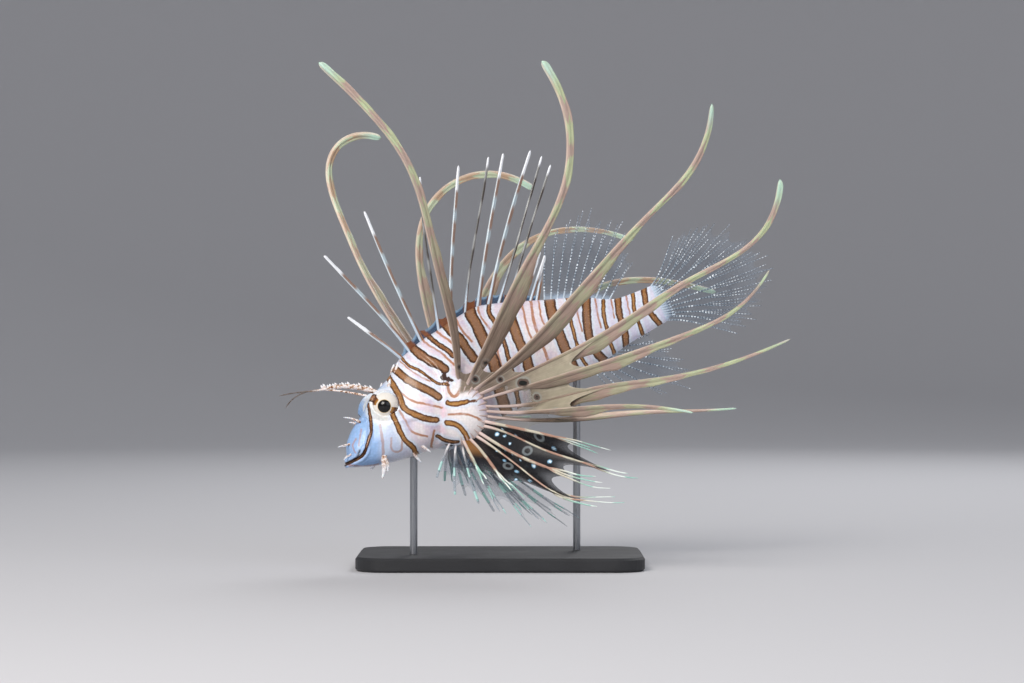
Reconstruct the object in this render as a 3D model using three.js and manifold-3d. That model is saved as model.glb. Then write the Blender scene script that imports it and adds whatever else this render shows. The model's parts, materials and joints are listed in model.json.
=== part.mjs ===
// A young red lionfish, life size, swimming with its head down on a plain display stand.
// Millimetres. Up is +Z, the head points to -X and the fish's left side faces -Y.
// The pose is laid out as a viewer in front of the left side sees it: across, up and nearer to them.
import * as THREE from 'three';
import { mergeVertices } from 'three/addons/utils/BufferGeometryUtils.js';
import Module from 'manifold-3d';

const wasm = await Module();
wasm.setup();

// Driving dimensions

const gap = 0.3; // between parts that meet
const viewDistance = 1222; // from the viewer to the fish's middle
const eyeHeight = 96.5; // of the viewer over the floor
const eyeAcross = 5; // of the viewer from the stand's middle

const snout = { across: -65.4, up: 51.4 };
const headDown = 24.6; // slope of the body's axis, degrees
const headTurn = 0.488; // how fast the axis comes nearer at the snout, per mm seen
const bodyBend = 0.001184; // how much of that turn is lost towards the tail
const midBody = 70; // along the axis, where it crosses the stand's middle plane

const gillCut = 40.2; // along the axis, between head and trunk
const loinCut = 100.2; // between trunk and tail
const bodyEnd = 150.2;

// Along the axis, height of the back, height of the belly, half width, all as seen from the side
const bodyStations = [
  [-4.3, -6.0, -7.3, 1.2],
  [-3.0, -5.2, -8.3, 3.1],
  [-1.3, -3.4, -9.1, 4.6],
  [-0.2, 0.4, -9.6, 5.5],
  [2.6, 3.9, -10.6, 7.0],
  [6.0, 6.7, -12.0, 8.6],
  [12.0, 10.4, -13.6, 10.8],
  [18.0, 15.4, -14.8, 12.4],
  [23.0, 17.4, -15.4, 13.4],
  [28.4, 19.8, -15.9, 14.4],
  [34.4, 24.2, -16.3, 15.0],
  [40.4, 26.3, -16.3, 15.2],
  [47.7, 28.3, -16.3, 14.8],
  [57.2, 29.6, -16.1, 14.2],
  [65.4, 31.0, -16.0, 13.4],
  [74.8, 31.7, -15.8, 12.5],
  [85.6, 28.7, -15.5, 11.4],
  [95.0, 25.2, -14.6, 10.0],
  [103.6, 21.9, -13.4, 8.8],
  [112.7, 18.6, -12.6, 7.6],
  [120.0, 15.4, -11.6, 6.5],
  [129.9, 10.2, -9.9, 5.2],
  [141.9, 8.8, -8.6, 4.0],
  [147.0, 8.6, -8.0, 3.2],
  [149.0, 7.6, -7.1, 2.2],
  [150.2, 5.8, -5.4, 1.2],
];
const widestAt = 0.44; // height of the widest line, share of the depth
const sectionPower = 0.86; // under 1 makes a fuller section than an ellipse
const headTaper = 0.3; // how much narrower the section is at the back
const trunkTaper = 0.16;

const pectoralBase = { along: 45.6, high: -6.6, reach: 13, height: 13.5, depth: 8, sunk: 4.6, tilt: 20 };
const pectoralRoot = 0.72; // where the rays start, share of the base's radius

const stand = { length: 122, width: 74, thick: 6, corner: 12, bevel: 1, rod: 1.6 };
const frontRodAlong = 31; // where the rods meet the fish, along its axis
const rearRodAlong = 108;

// Colours from the photo

function finish(color, roughness, metalness = 0) {
  return new THREE.MeshStandardMaterial({ color, roughness, metalness });
}

const skinPaint = finish('#d9b9c4', 0.45);
const finPaint = finish('#a08c78', 0.4);
const clearFin = finish('#7f93a8', 0.3);
const spinePaint = finish('#c9b8ae', 0.4);
const eyePaint = finish('#15151c', 0.08);
const standPaint = finish('#2c2d30', 0.5);
const steel = finish('#b8bcc2', 0.3, 0.9);

// Helpers: numbers and curves

const { degToRad, lerp, clamp } = THREE.MathUtils;

// The value at share t of a list of evenly spaced ones
function blend(values, t) {
  const curve = new THREE.SplineCurve(values.map((value, index) => new THREE.Vector2(index, value)));
  return curve.getPoint(clamp(t, 0, 1)).y;
}

// One column of the body's stations, at any place along it
function station(along, column) {
  const last = bodyStations.length - 1;
  let low = 0;
  while (low < last - 1 && bodyStations[low + 1][0] <= along) low += 1;
  const row = (index) => bodyStations[clamp(index, 0, last)];
  const slope = (index) => {
    const before = row(index - 1);
    const after = row(index + 1);
    return (after[column] - before[column]) / (after[0] - before[0]);
  };
  const start = row(low);
  const end = row(low + 1);
  const span = end[0] - start[0];
  const t = clamp((along - start[0]) / span, 0, 1);
  const bent = t * t * (3 - 2 * t);
  return lerp(start[column], end[column], bent)
    + span * t * (1 - t) * ((1 - t) * slope(low) - t * slope(low + 1));
}

// Helpers: places

// A point that looks (across, up) from the viewer's place, and lies nearer to them by so much
function seen(across, up, nearer) {
  const share = 1 - nearer / viewDistance;
  const x = eyeAcross + (across - eyeAcross) * share;
  const z = eyeHeight + (up - eyeHeight) * share;
  return new THREE.Vector3(x, -nearer, z);
}

// Where the viewer sees a point: across and up
function seenFrom(place) {
  const share = 1 + place.y / viewDistance;
  return [eyeAcross + (place.x - eyeAcross) / share, eyeHeight + (place.z - eyeHeight) / share];
}

const axisSlope = degToRad(headDown);
const backward = new THREE.Vector3(Math.cos(axisSlope), 0, Math.sin(axisSlope));
const upward = new THREE.Vector3(-Math.sin(axisSlope), 0, Math.cos(axisSlope));
const drift = (along) => headTurn * along - bodyBend * along * along;

// The fish's own left, at a place along its axis
function leftward(along) {
  const turn = Math.atan(headTurn - 2 * bodyBend * along);
  return new THREE.Vector3(Math.sin(turn) * backward.x, -Math.cos(turn), Math.sin(turn) * backward.z);
}

// A point in the fish: along its axis from the snout, high over it, to its left
function inFish(along, high, left) {
  const nearer = drift(midBody) - drift(along);
  const share = 1 - nearer / viewDistance;
  const across = snout.across + backward.x * along;
  const up = snout.up + backward.z * along;
  return seen(across, up, nearer)
    .addScaledVector(upward, high * share)
    .addScaledVector(leftward(along), left);
}

// Helpers: solids

function geometryOf(positions, triangles) {
  const geometry = new THREE.BufferGeometry();
  geometry.setAttribute('position', new THREE.Float32BufferAttribute(positions, 3));
  geometry.setIndex(triangles);
  return geometry;
}

// Merges a geometry's shared vertices and turns its faces out
function solid(geometry) {
  const bare = geometry.clone();
  bare.deleteAttribute('normal');
  bare.deleteAttribute('uv');
  const merged = mergeVertices(bare, 1e-4);
  const vertices = merged.getAttribute('position').array;
  const triangles = Array.from(merged.index.array);
  const corner = (index) => new THREE.Vector3().fromArray(vertices, 3 * triangles[index]);
  const kept = [];
  let volume = 0;
  for (let index = 0; index < triangles.length; index += 3) {
    const [a, b, c] = [triangles[index], triangles[index + 1], triangles[index + 2]];
    if (a !== b && b !== c && c !== a) kept.push(a, b, c);
    volume += corner(index).dot(corner(index + 1).cross(corner(index + 2)));
  }
  if (volume < 0) kept.reverse();
  return new wasm.Manifold(new wasm.Mesh({
    numProp: 3,
    vertProperties: Float32Array.from(vertices),
    triVerts: Uint32Array.from(kept),
  }));
}

const joined = (pieces) => pieces.reduce((whole, piece) => whole.add(piece));

// The largest closed surface of a solid: a loose scrap or a sealed hollow is dropped
function largest(body) {
  return body.decompose().reduce((best, piece) => (piece.volume() > best.volume() ? piece : best));
}

function part(name, body, material) {
  const mesh = largest(body).getMesh();
  const geometry = geometryOf(Array.from(mesh.vertProperties), Array.from(mesh.triVerts));
  const made = new THREE.Mesh(geometry, material);
  made.name = name;
  return made;
}

// A closed body through rings of points, capped at both ends
function loft(rings) {
  const around = rings[0].length;
  const positions = rings.flat().flatMap((point) => point.toArray());
  const triangles = [];
  for (let ring = 0; ring < rings.length - 1; ring += 1) {
    for (let step = 0; step < around; step += 1) {
      const next = (step + 1) % around;
      const [a, b] = [ring * around + step, ring * around + next];
      triangles.push(a, b, b + around, a, b + around, a + around);
    }
  }
  for (const [ring, front] of [[0, true], [rings.length - 1, false]]) {
    const sum = rings[ring].reduce((total, point) => total.add(point), new THREE.Vector3());
    const middle = sum.divideScalar(around);
    const hub = positions.length / 3;
    positions.push(...middle.toArray());
    for (let step = 0; step < around; step += 1) {
      const [a, b] = [ring * around + step, ring * around + ((step + 1) % around)];
      triangles.push(...(front ? [hub, b, a] : [hub, a, b]));
    }
  }
  return solid(geometryOf(positions, triangles));
}

// A round bar along points, as thick as the radii say, flattened by a share across the given side
function bar(points, radii, sides = 6, flat = 1, side = new THREE.Vector3(0, 1, 0)) {
  const curve = new THREE.CatmullRomCurve3(points);
  const steps = Math.max(points.length - 1, 1) * 2;
  const rings = [];
  for (let step = 0; step <= steps; step += 1) {
    const t = step / steps;
    const middle = curve.getPoint(t);
    const ahead = curve.getTangent(t);
    const out = side.clone().addScaledVector(ahead, -side.dot(ahead)).normalize();
    const over = new THREE.Vector3().crossVectors(ahead, out);
    const radius = blend(radii, t);
    rings.push(Array.from({ length: sides }, (_, index) => {
      const angle = (2 * Math.PI * (index + 0.5)) / sides;
      return middle.clone()
        .addScaledVector(out, radius * flat * Math.cos(angle))
        .addScaledVector(over, radius * Math.sin(angle));
    }));
  }
  return loft(rings);
}

// The body

// Half width of the body at a place along it and a height, as in its section
function flank(along, high) {
  const [top, bottom, width] = [1, 2, 3].map((column) => station(along, column));
  const middle = lerp(bottom, top, widestAt);
  const share = clamp((high - middle) / (high > middle ? top - middle : middle - bottom), -1, 1);
  const rise = Math.abs(share) ** (1 / sectionPower);
  return width * Math.sqrt(1 - rise * rise) ** sectionPower * (1 - taper(along) * Math.max(share, 0));
}

function taper(along) {
  return lerp(headTaper, trunkTaper, clamp((along - gillCut) / 20, 0, 1));
}

// One section of the body, swollen outwards by so much
function section(along, sides, swell) {
  const [top, bottom, width] = [1, 2, 3].map((column) => station(along, column));
  const middle = lerp(bottom, top, widestAt);
  return Array.from({ length: sides }, (_, index) => {
    const angle = (2 * Math.PI * index) / sides;
    const [cos, sin] = [Math.cos(angle), Math.sin(angle)];
    const share = Math.sign(sin) * Math.abs(sin) ** sectionPower;
    const high = middle + share * ((sin > 0 ? top - middle : middle - bottom) + swell);
    const left = Math.sign(cos) * Math.abs(cos) ** sectionPower
      * (width + swell) * (1 - taper(along) * Math.max(share, 0));
    return inFish(along, high, left);
  });
}

function body(from, to, sides, spacing, swell = 0) {
  const inner = bodyStations.map((row) => row[0]).filter((along) => along > from + 1 && along < to - 1);
  const places = [from, ...inner, to];
  const finer = places.flatMap((along, index) => {
    const next = places[index + 1] ?? along;
    const count = Math.max(Math.round((next - along) / spacing), 1);
    return Array.from({ length: count }, (_, step) => lerp(along, next, step / count));
  });
  return loft(finer.map((along) => section(along, sides, swell)));
}

const snoutEnd = bodyStations[0][0];

// The fleshy base of a pectoral fin, on the left (side 1) or the right (side -1)
const baseLeft = flank(pectoralBase.along, pectoralBase.high) - pectoralBase.sunk;

function inBase(side, back, high, out) {
  const tilt = degToRad(pectoralBase.tilt);
  return inFish(
    pectoralBase.along + back * Math.cos(tilt) - out * Math.sin(tilt),
    pectoralBase.high + high,
    side * (baseLeft + back * Math.sin(tilt) + out * Math.cos(tilt)),
  );
}

function finBase(side, swell = 0) {
  const ball = new THREE.SphereGeometry(1, 18, 12);
  const points = ball.getAttribute('position');
  for (let index = 0; index < points.count; index += 1) {
    const place = inBase(
      side,
      points.getX(index) * (pectoralBase.reach + swell),
      points.getY(index) * (pectoralBase.height + swell),
      points.getZ(index) * (pectoralBase.depth + swell),
    );
    points.setXYZ(index, place.x, place.y, place.z);
  }
  return solid(ball);
}

// Fins: rays traced in a plane by their headings, with the membrane between them

// Points along a curve that starts at (x, y) and turns through the headings, in degrees, as it goes
function trace({ start, reach, turns }, rows, crowding) {
  const fine = 60;
  const walk = [{ x: start[0], y: start[1] }];
  for (let step = 0; step < fine; step += 1) {
    const heading = degToRad(blend(turns, (step + 0.5) / fine));
    const stride = reach / fine;
    const from = walk[step];
    walk.push({ x: from.x + Math.cos(heading) * stride, y: from.y + Math.sin(heading) * stride });
  }
  return Array.from({ length: rows + 1 }, (_, row) => {
    const t = (row / rows) ** crowding;
    const step = Math.min(Math.floor(t * fine), fine - 1);
    const [from, next, share] = [walk[step], walk[step + 1], t * fine - step];
    return { t, x: lerp(from.x, next.x, share), y: lerp(from.y, next.y, share) };
  });
}

// A sheet over a fan of rays. Each ray is a ridge raised on both faces, with an edge before and behind it.
// webs says for each gap between rays how many rows the membrane fills, and the rays go on alone past it.
// Only the rays from one index to another are made, shaped by their neighbours.
function finSheet(rays, rows, webs, sizes, from = 0, to = rays.length - 1) {
  const positions = [];
  const triangles = [];
  for (let index = from; index <= to; index += 1) {
    const ray = rays[index];
    const held = Math.max(webs[index - 1] ?? 0, webs[index] ?? 0);
    let across = null;
    ray.points.forEach((point, row) => {
      const before = rays[Math.max(index - 1, 0)].points[row];
      const after = rays[Math.min(index + 1, rays.length - 1)].points[row];
      const [last, next] = [ray.points[Math.max(row - 1, 0)], ray.points[Math.min(row + 1, rows)]];
      const ahead = next.clone().sub(last).normalize();
      if (across === null || row <= held) across = after.clone().sub(before);
      across.addScaledVector(ahead, -across.dot(ahead)).normalize();
      const over = new THREE.Vector3().crossVectors(across, ahead);
      const t = row / rows;
      const room = (other) => (other === point ? Infinity : 0.42 * other.distanceTo(point));
      const lead = Math.min(blend(sizes.lead, t), room(before));
      const trail = Math.min(blend(ray.trail ?? sizes.trail, t), room(after));
      const edge = row === rows ? sizes.edge / 2 : sizes.edge;
      for (const [shift, half] of [[-lead, edge], [0, blend(sizes.ridge, t)], [trail, edge]]) {
        const middle = point.clone().addScaledVector(across, shift);
        for (const face of [1, -1]) {
          const corner = middle.clone().addScaledVector(over, face * half);
          positions.push(...corner.toArray());
        }
      }
    });
  }
  const spot = (ray, row, column) => 6 * ((ray - from) * (rows + 1) + row) + 2 * column;
  const quad = (a, b, c, d) => triangles.push(a, b, c, a, c, d);
  const patch = (a, b, c, d) => {
    quad(a, b, c, d);
    triangles.push(a + 1, c + 1, b + 1, a + 1, d + 1, c + 1);
  };
  const rim = (a, b) => quad(b, a, a + 1, b + 1);
  for (let ray = from; ray <= to; ray += 1) {
    const webBefore = ray > from ? webs[ray - 1] : 0;
    const webAfter = ray < to ? webs[ray] : 0;
    for (let row = 0; row < rows; row += 1) {
      const [a, r, b] = [0, 1, 2].map((column) => spot(ray, row, column));
      const [a2, r2, b2] = [0, 1, 2].map((column) => spot(ray, row + 1, column));
      patch(a, r, r2, a2);
      patch(r, b, b2, r2);
      if (row >= webBefore) rim(a2, a);
      if (row >= webAfter) rim(b, b2);
      else patch(b, spot(ray + 1, row, 0), spot(ray + 1, row + 1, 0), b2);
    }
    for (const column of [0, 1]) {
      rim(spot(ray, 0, column), spot(ray, 0, column + 1));
      rim(spot(ray, rows, column + 1), spot(ray, rows, column));
    }
    if (webAfter > 0) {
      rim(spot(ray, 0, 2), spot(ray + 1, 0, 0));
      rim(spot(ray + 1, webAfter, 0), spot(ray, webAfter, 2));
    }
  }
  return solid(geometryOf(positions, triangles));
}

// A fin in the fish's middle plane or beside it: ray starts and headings are in the fish's own frame
function bodyFin(rays, rows, webs, sizes, crowding = 1) {
  return finSheet(rays.map((ray) => ({
    ...ray,
    points: trace(ray, rows, crowding).map(({ t, x, y }) => inFish(x, y, blend(ray.lean ?? [0, 0], t))),
  })), rows, webs, sizes);
}

// Dorsal spines: along the back from the nape, with the length, heading and lean of each

const spineRows = 6;
const dorsalSpines = [
  { along: 37.7, length: 28.5, turns: [116, 117, 117] },
  { along: 41.5, length: 55, turns: [101, 110, 110] },
  { along: 47.5, length: 61, turns: [92, 88, 86] },
  { along: 55.4, length: 66, turns: [73, 75, 69] },
  { along: 60.5, length: 68.5, turns: [66, 61, 60] },
  { along: 68.0, length: 67.5, turns: [61, 56, 58] },
  { along: 74.0, length: 67.5, turns: [59, 55, 54] },
  { along: 78.5, length: 68, turns: [54, 51, 47] },
  { along: 82.5, length: 66.5, turns: [48, 49, 49] },
  { along: 87.0, length: 61, turns: [51, 49, 48] },
  { along: 92.2, length: 23, turns: [47, 46, 45] },
  { along: 95.4, length: 20, turns: [49, 49, 49] },
  { along: 98.2, length: 19, turns: [56, 54, 53] },
];
const spineSunk = 3;
const spineSplay = 3.2; // how far the tips stand to alternate sides

function spinyDorsal() {
  const rays = dorsalSpines.map(({ along, length, turns }, index) => {
    const sway = (index % 2 ? 1 : -1) * spineSplay * Math.max(length / 66, 0.6);
    return {
      start: [along, station(along, 1) - spineSunk],
      reach: length + spineSunk,
      turns,
      lean: [0, 0, sway / 2, sway],
    };
  });
  const webs = rays.slice(1).map((ray, index) => (index > 8 ? 2 : 1));
  return bodyFin(rays, spineRows, webs, {
    lead: [0.7, 0.5, 0.45, 0.3],
    trail: [1.6, 0.8, 0.7, 0.9, 0.3],
    ridge: [0.7, 0.6, 0.45, 0.3],
    edge: 0.25,
  }, 1.2);
}

// Soft dorsal, tail and anal fins: clear, with thin rays almost out to the edge

const thinRays = { lead: [0.5, 0.4, 0.3], trail: [0.5, 0.4, 0.3], ridge: [0.55, 0.45, 0.32], edge: 0.25 };
const softRows = 5;
const softCrowding = 0.65; // under 1 sets the rows closer together towards the edge

function softDorsal() {
  const lengths = [33, 34, 36.5, 38.5, 39.5, 38.5, 37.5, 36, 30.5, 25, 20];
  const [first, final] = [102, 126.5];
  const rays = lengths.map((length, index) => {
    const t = index / (lengths.length - 1);
    const along = lerp(first, final, t);
    const heading = lerp(64, 35, t ** 0.85);
    const start = [along, station(along, 1) - 2.5];
    return { start, reach: length + 2.5, turns: [heading + 3, heading - 2] };
  });
  return bodyFin(rays, softRows, rays.slice(1).map(() => softRows - 1), thinRays, softCrowding);
}

function tailFin() {
  const lengths = [24, 30, 35.5, 40, 45, 49, 51, 51, 48.5, 45, 40, 35, 31];
  const headings = [42, 37, 32, 26, 18, 10, 2, -6, -13, -19, -25, -30, -36];
  const sunk = 4;
  const rays = lengths.map((length, index) => {
    const t = index / (lengths.length - 1);
    return {
      start: [bodyEnd - 3 - sunk, lerp(6.8, -6.2, t)],
      reach: length + sunk,
      turns: [headings[index] * 0.5, headings[index] * 1.05, headings[index] * 1.1],
      lean: [0, 1.2 * Math.sin(index * 1.1)],
    };
  });
  return bodyFin(rays, softRows, rays.slice(1).map(() => softRows - 1), thinRays, softCrowding);
}

function analFin() {
  const lengths = [9, 13.5, 19, 31, 38.5, 38.5, 32.5, 24, 18, 14.5];
  const headings = [-74, -68, -60, -53, -44, -36, -31, -25, -16, -4];
  const [first, final] = [108.6, 123];
  const rays = lengths.map((length, index) => {
    const along = lerp(first, final, index / (lengths.length - 1));
    return {
      start: [along, station(along, 2) + 2.5],
      reach: length + 2.5,
      turns: [headings[index] - 2, headings[index] + 2],
    };
  });
  const webs = rays.slice(1).map((_, index) => (index < 2 ? 3 : softRows - 1));
  return bodyFin(rays, softRows, webs, thinRays, softCrowding);
}

// Pelvic fins: one spine and five rays, from the throat back and outwards.
// Headings are as the viewer sees them, and spread is how far the ray goes to its own side on its way.

const pelvicRows = 5;
const pelvicPlace = { along: 44, step: 0.9, left: 3.6, sunk: 3 };
const pelvicFins = {
  left: {
    side: 1, spread: [0, 8, 14, 17],
    lengths: [19, 25, 30, 38.5, 48.5, 57], headings: [-112, -92, -75, -63, -54, -49],
  },
  right: {
    side: -1, spread: [0, 5, 8, 9],
    lengths: [18, 25, 35.5, 48.5, 59.5, 68], headings: [-97, -78, -63, -46, -40, -36],
  },
};
function pelvicFin({ side, spread, lengths, headings }) {
  const { along: first, step, left, sunk } = pelvicPlace;
  const rays = lengths.map((length, index) => {
    const along = first + step * index;
    const root = inFish(along, station(along, 2) + sunk, side * left);
    const turns = [headings[index] - 10, headings[index], headings[index] + 5];
    const path = trace({ start: seenFrom(root), reach: length + sunk, turns }, pelvicRows, softCrowding);
    return { points: path.map(({ t, x, y }) => seen(x, y, -root.y + side * blend(spread, t))) };
  });
  return finSheet(rays, pelvicRows, rays.slice(1).map(() => pelvicRows - 1), thinRays);
}

// Pectoral fins: fourteen rays round the rear rim of the base, from the top down.
// Headings are as the viewer sees them, and nearer is how far the ray comes out to them on its way.
const leftRays = [
  { reach: 156, turns: [93, 104, 104, 129, 138], nearer: [0, 18, 30, 34], blade: 4.2 },
  { reach: 152.5, turns: [64, 65, 61, 90, 124], nearer: [0, 22, 36, 42], blade: 8.6 },
  { reach: 166, turns: [34, 47, 48, 47, 85], nearer: [0, 24, 42, 50], blade: 8 },
  { reach: 168, turns: [24, 26, 34, 30, 86], nearer: [0, 25, 46, 58], blade: 7 },
  { reach: 141, turns: [15, 17, 19, 25, 59], nearer: [0, 25, 48, 62], blade: 7 },
  { reach: 138, turns: [-5, 15, 7, 16, 24], nearer: [0, 24, 48, 64], blade: 6.5 },
  { reach: 92, turns: [-7, 3, 5, -2, -12], nearer: [0, 23, 46, 60], blade: 5 },
  { reach: 110.5, turns: [-8, -1, 7, 2, 4], nearer: [0, 20, 36, 44], blade: 3.4 },
  { reach: 58.5, turns: [-11, -12, -13, -18, -20], nearer: [0, 17, 30, 38], blade: 2.6 },
  { reach: 81, turns: [-8, -26, -17, -17, 13], nearer: [0, 16, 29, 37], blade: 2.4 },
  { reach: 63.5, turns: [-34, -29, -21, -18, 1], nearer: [0, 15, 27, 35], blade: 2.2 },
  { reach: 75, turns: [-31, -37, -36, -8, -1], nearer: [0, 13, 24, 30], blade: 2.2 },
  { reach: 37, turns: [-43, -49, -55, -44, -49], nearer: [0, 11, 20, 26], blade: 1.8 },
  { reach: 25.5, turns: [-62, -62, -63, -59, -59], nearer: [0, 9, 16, 20], blade: 1.6 },
];
const rightRays = [
  { reach: 142, turns: [122, 123, 114, 97, -19], nearer: [0, -32, -56, -66], blade: 5 },
  { reach: 136.5, turns: [100, 104, 86, 25, -33], nearer: [0, -38, -66, -78], blade: 6.5 },
  { reach: 125.5, turns: [69, 76, 52, 8, -21], nearer: [0, -42, -74, -90], blade: 7.5 },
  { reach: 132, turns: [45, 40, 37, 0, -17], nearer: [0, -42, -78, -100], blade: 7.5 },
  { reach: 68, turns: [31, 27, 24, 20], nearer: [0, -42, -80, -106], blade: 7 },
  { reach: 52, turns: [24, 20, 18, 16], nearer: [0, -42, -80, -106], blade: 6.5 },
  { reach: 35, turns: [20, 18, 16, 14], nearer: [0, -38, -70, -92], blade: 5 },
  { reach: 30, turns: [6, 5, 5, 5], nearer: [0, -34, -62, -80], blade: 3.4 },
  { reach: 28, turns: [-10, -10, -10, -10], nearer: [0, -28, -50, -62], blade: 2.6 },
  { reach: 28, turns: [-24, -24, -22, -20], nearer: [0, -24, -44, -56], blade: 2.4 },
  { reach: 28, turns: [-38, -38, -36, -34], nearer: [0, -21, -38, -48], blade: 2.2 },
  { reach: 26, turns: [-54, -52, -50, -48], nearer: [0, -18, -31, -40], blade: 2.2 },
  { reach: 23, turns: [-68, -66, -64, -62], nearer: [0, -14, -24, -30], blade: 1.8 },
  { reach: 19, turns: [-84, -80, -78, -76], nearer: [0, -10, -17, -21], blade: 1.6 },
];
const pectoralParts = {
  upper: { from: 0, to: 7, rows: 13, crowding: 1.08, webs: [1, 2, 3, 5, 5, 6, 5, 5] },
  lower: { from: 8, to: 13, rows: 7, crowding: 1, webs: [0, 0, 0, 0, 0, 0, 0, 0, 5, 5, 5, 5, 5] },
};
const rootTurn = { first: 62, last: -106 }; // place of the first and last ray round the base, degrees

// A pectoral ray's start in the base, and where the viewer sees it
function pectoralStart(side, index) {
  const turn = degToRad(lerp(rootTurn.first, rootTurn.last, index / (leftRays.length - 1)));
  const place = inBase(
    side,
    pectoralRoot * pectoralBase.reach * Math.cos(turn),
    pectoralRoot * pectoralBase.height * Math.sin(turn),
    0.2 * pectoralBase.depth,
  );
  return { start: seenFrom(place), near: -place.y };
}

function pectoralFin(side, { from, to, rows, crowding, webs }) {
  const rays = (side > 0 ? leftRays : rightRays).map((ray, index) => {
    const { start, near } = pectoralStart(side, index);
    const path = trace({ ...ray, start }, rows, crowding);
    return {
      points: path.map(({ t, x, y }) => seen(x, y, near + blend(ray.nearer, t))),
      trail: [0.8, 0.62 * ray.blade, 0.75 * ray.blade, 0.5 * ray.blade, 1.3, 1.1, 0.9],
    };
  });
  return finSheet(rays, rows, webs, {
    lead: [0.9, 1.1, 0.9, 0.8, 0.6],
    ridge: [0.9, 0.75, 0.6, 0.45, 0.35],
    edge: 0.25,
  }, from, to);
}

// Tentacles over the eyes: headings as the viewer sees them

const browTentacles = {
  left: {
    reach: 44.5, turns: [165, 171, 191, 185, 194], nearer: [0, 3, 8, 14],
    radii: [1.1, 1.2, 1.0, 0.4, 0.3, 0.2], lobes: 9,
  },
  right: {
    reach: 40.5, turns: [168, 170, 179, 200, 240], nearer: [0, -3, -7, -12],
    radii: [0.7, 0.6, 0.4, 0.3, 0.2], lobes: 0,
  },
};
const frill = { from: 0.1, to: 0.56, height: 1.9, radius: 0.6, lean: -0.5 };
const browPlace = { along: 20.4, high: 14.9, left: 5.6 };

function browTentacle(side, { reach, turns, nearer, radii, lobes }) {
  const root = inFish(browPlace.along, browPlace.high, side * browPlace.left);
  const path = trace({ start: seenFrom(root), reach, turns }, 8, 1);
  const points = path.map(({ t, x, y }) => seen(x, y, -root.y + blend(nearer, t)));
  const curve = new THREE.CatmullRomCurve3(points);
  const pieces = [bar(points, radii, 5)];
  for (let lobe = 0; lobe < lobes; lobe += 1) {
    const foot = curve.getPoint(lerp(frill.from, frill.to, lobe / (lobes - 1)));
    const tall = frill.height * (lobe % 2 ? 0.75 : 1);
    const tip = foot.clone().add(new THREE.Vector3(frill.lean * tall, 0, tall));
    pieces.push(bar([foot, tip], [frill.radius, 0.2], 4));
  }
  return joined(pieces);
}

// Details of the head: places are along, high and to the left, alike on both sides

const eye = { along: 19.3, high: 9.2, left: 6.7, radius: 6.0 };
const eyeRim = { aim: [-0.1, 0.34, 0.93], out: 2.1, radius: 5.95, tube: 0.9 };
const browRidge = {
  line: [[13.6, 10.4, 7.4], [17.4, 13.9, 6.9], [22.6, 15.0, 6.8], [26.0, 14.0, 8.0]],
  radii: [0.8, 1.5, 1.5, 0.7],
};
const mouthLine = [[-4.4, -6.4], [-2.6, -6.3], [0.8, -6.2], [2.6, -5.2], [4.0, -3.6]];
const mouthDepth = 0.45;
const upperLip = [[-3.2, -5.2], [-1.8, -5.2], [1.0, -5.0], [2.2, -4.1], [3.2, -2.8]];
const lowerLip = [[-4.2, -7.4], [-2.4, -7.6], [0.8, -7.5], [3.3, -6.3], [4.9, -4.6]];
const lipRadii = [0.5, 0.75, 0.8, 0.8, 0.75, 0.5];
const jawBone = { line: [[4.2, -3.4], [6.6, -0.8], [8.6, 2.4], [10.6, 6.4]], radii: [0.9, 0.9, 0.75, 0.4] };
const nostril = { along: 9.4, high: 7.4, radius: 0.65 };
const napeSpines = [
  { root: [24.6, 15.4, 5.0], tip: [26.0, 18.9, 5.6], radius: 0.9 },
  { root: [31.0, 20.4, 2.6], tip: [33.2, 24.0, 3.0], radius: 0.9 },
];
const cheekSpines = [
  { root: [22.0, -12.8, 6.0], tip: [23.2, -19.4, 5.6], radius: 0.8 },
  { root: [25.4, -11.6, 8.6], tip: [27.6, -16.9, 9.2], radius: 0.8 },
];
const faceTentacles = [
  { line: [[9.6, -10.0, 7.0], [7.8, -14.0, 7.8], [4.8, -18.6, 7.4]], radii: [1.2, 0.95, 0.25] },
  { line: [[9.6, -10.6, 7.0], [9.0, -14.0, 8.0], [7.9, -16.8, 7.9]], radii: [0.9, 0.7, 0.25] },
  { line: [[8.2, 7.2, 2.6], [5.2, 10.4, 2.6], [2.2, 12.2, 3.0]], radii: [0.7, 0.4, 0.2] },
  { line: [[1.0, 0.4, 1.8], [-2.4, 1.2, 2.0], [-5.2, 1.6, 2.6]], radii: [0.6, 0.35, 0.2] },
  { line: [[-0.6, -3.6, 2.0], [-3.2, -3.9, 2.4], [-5.2, -4.4, 2.8]], radii: [0.5, 0.3, 0.2] },
];

const farShare = 0.4; // of its length that a cheek spine or face tentacle stands out on the right side

const eyeCentre = (side) => inFish(eye.along, eye.high, side * eye.left);

function eyeball(side, swell = 0) {
  const ball = new THREE.SphereGeometry(eye.radius + swell, 16, 11);
  ball.translate(...eyeCentre(side).toArray());
  return solid(ball);
}

// The bony ring round an eye
function orbit(side, swell = 0) {
  const [along, high, left] = eyeRim.aim;
  const target = inFish(eye.along + along, eye.high + high, side * (eye.left + left));
  const ahead = target.sub(eyeCentre(side)).normalize();
  const ring = new THREE.TorusGeometry(eyeRim.radius, eyeRim.tube + swell, 5, 16);
  ring.applyQuaternion(new THREE.Quaternion().setFromUnitVectors(new THREE.Vector3(0, 0, 1), ahead));
  const middle = eyeCentre(side).addScaledVector(ahead, eyeRim.out);
  ring.translate(middle.x, middle.y, middle.z);
  return solid(ring);
}

const sided = (side) => ([along, high, left]) => inFish(along, high, side * left);

function brow(side, swell = 0) {
  return bar(browRidge.line.map(sided(side)), browRidge.radii.map((radius) => radius + swell), 6);
}

const onSkin = (along, high, side) => inFish(along, high, side * flank(along, high));

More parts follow.
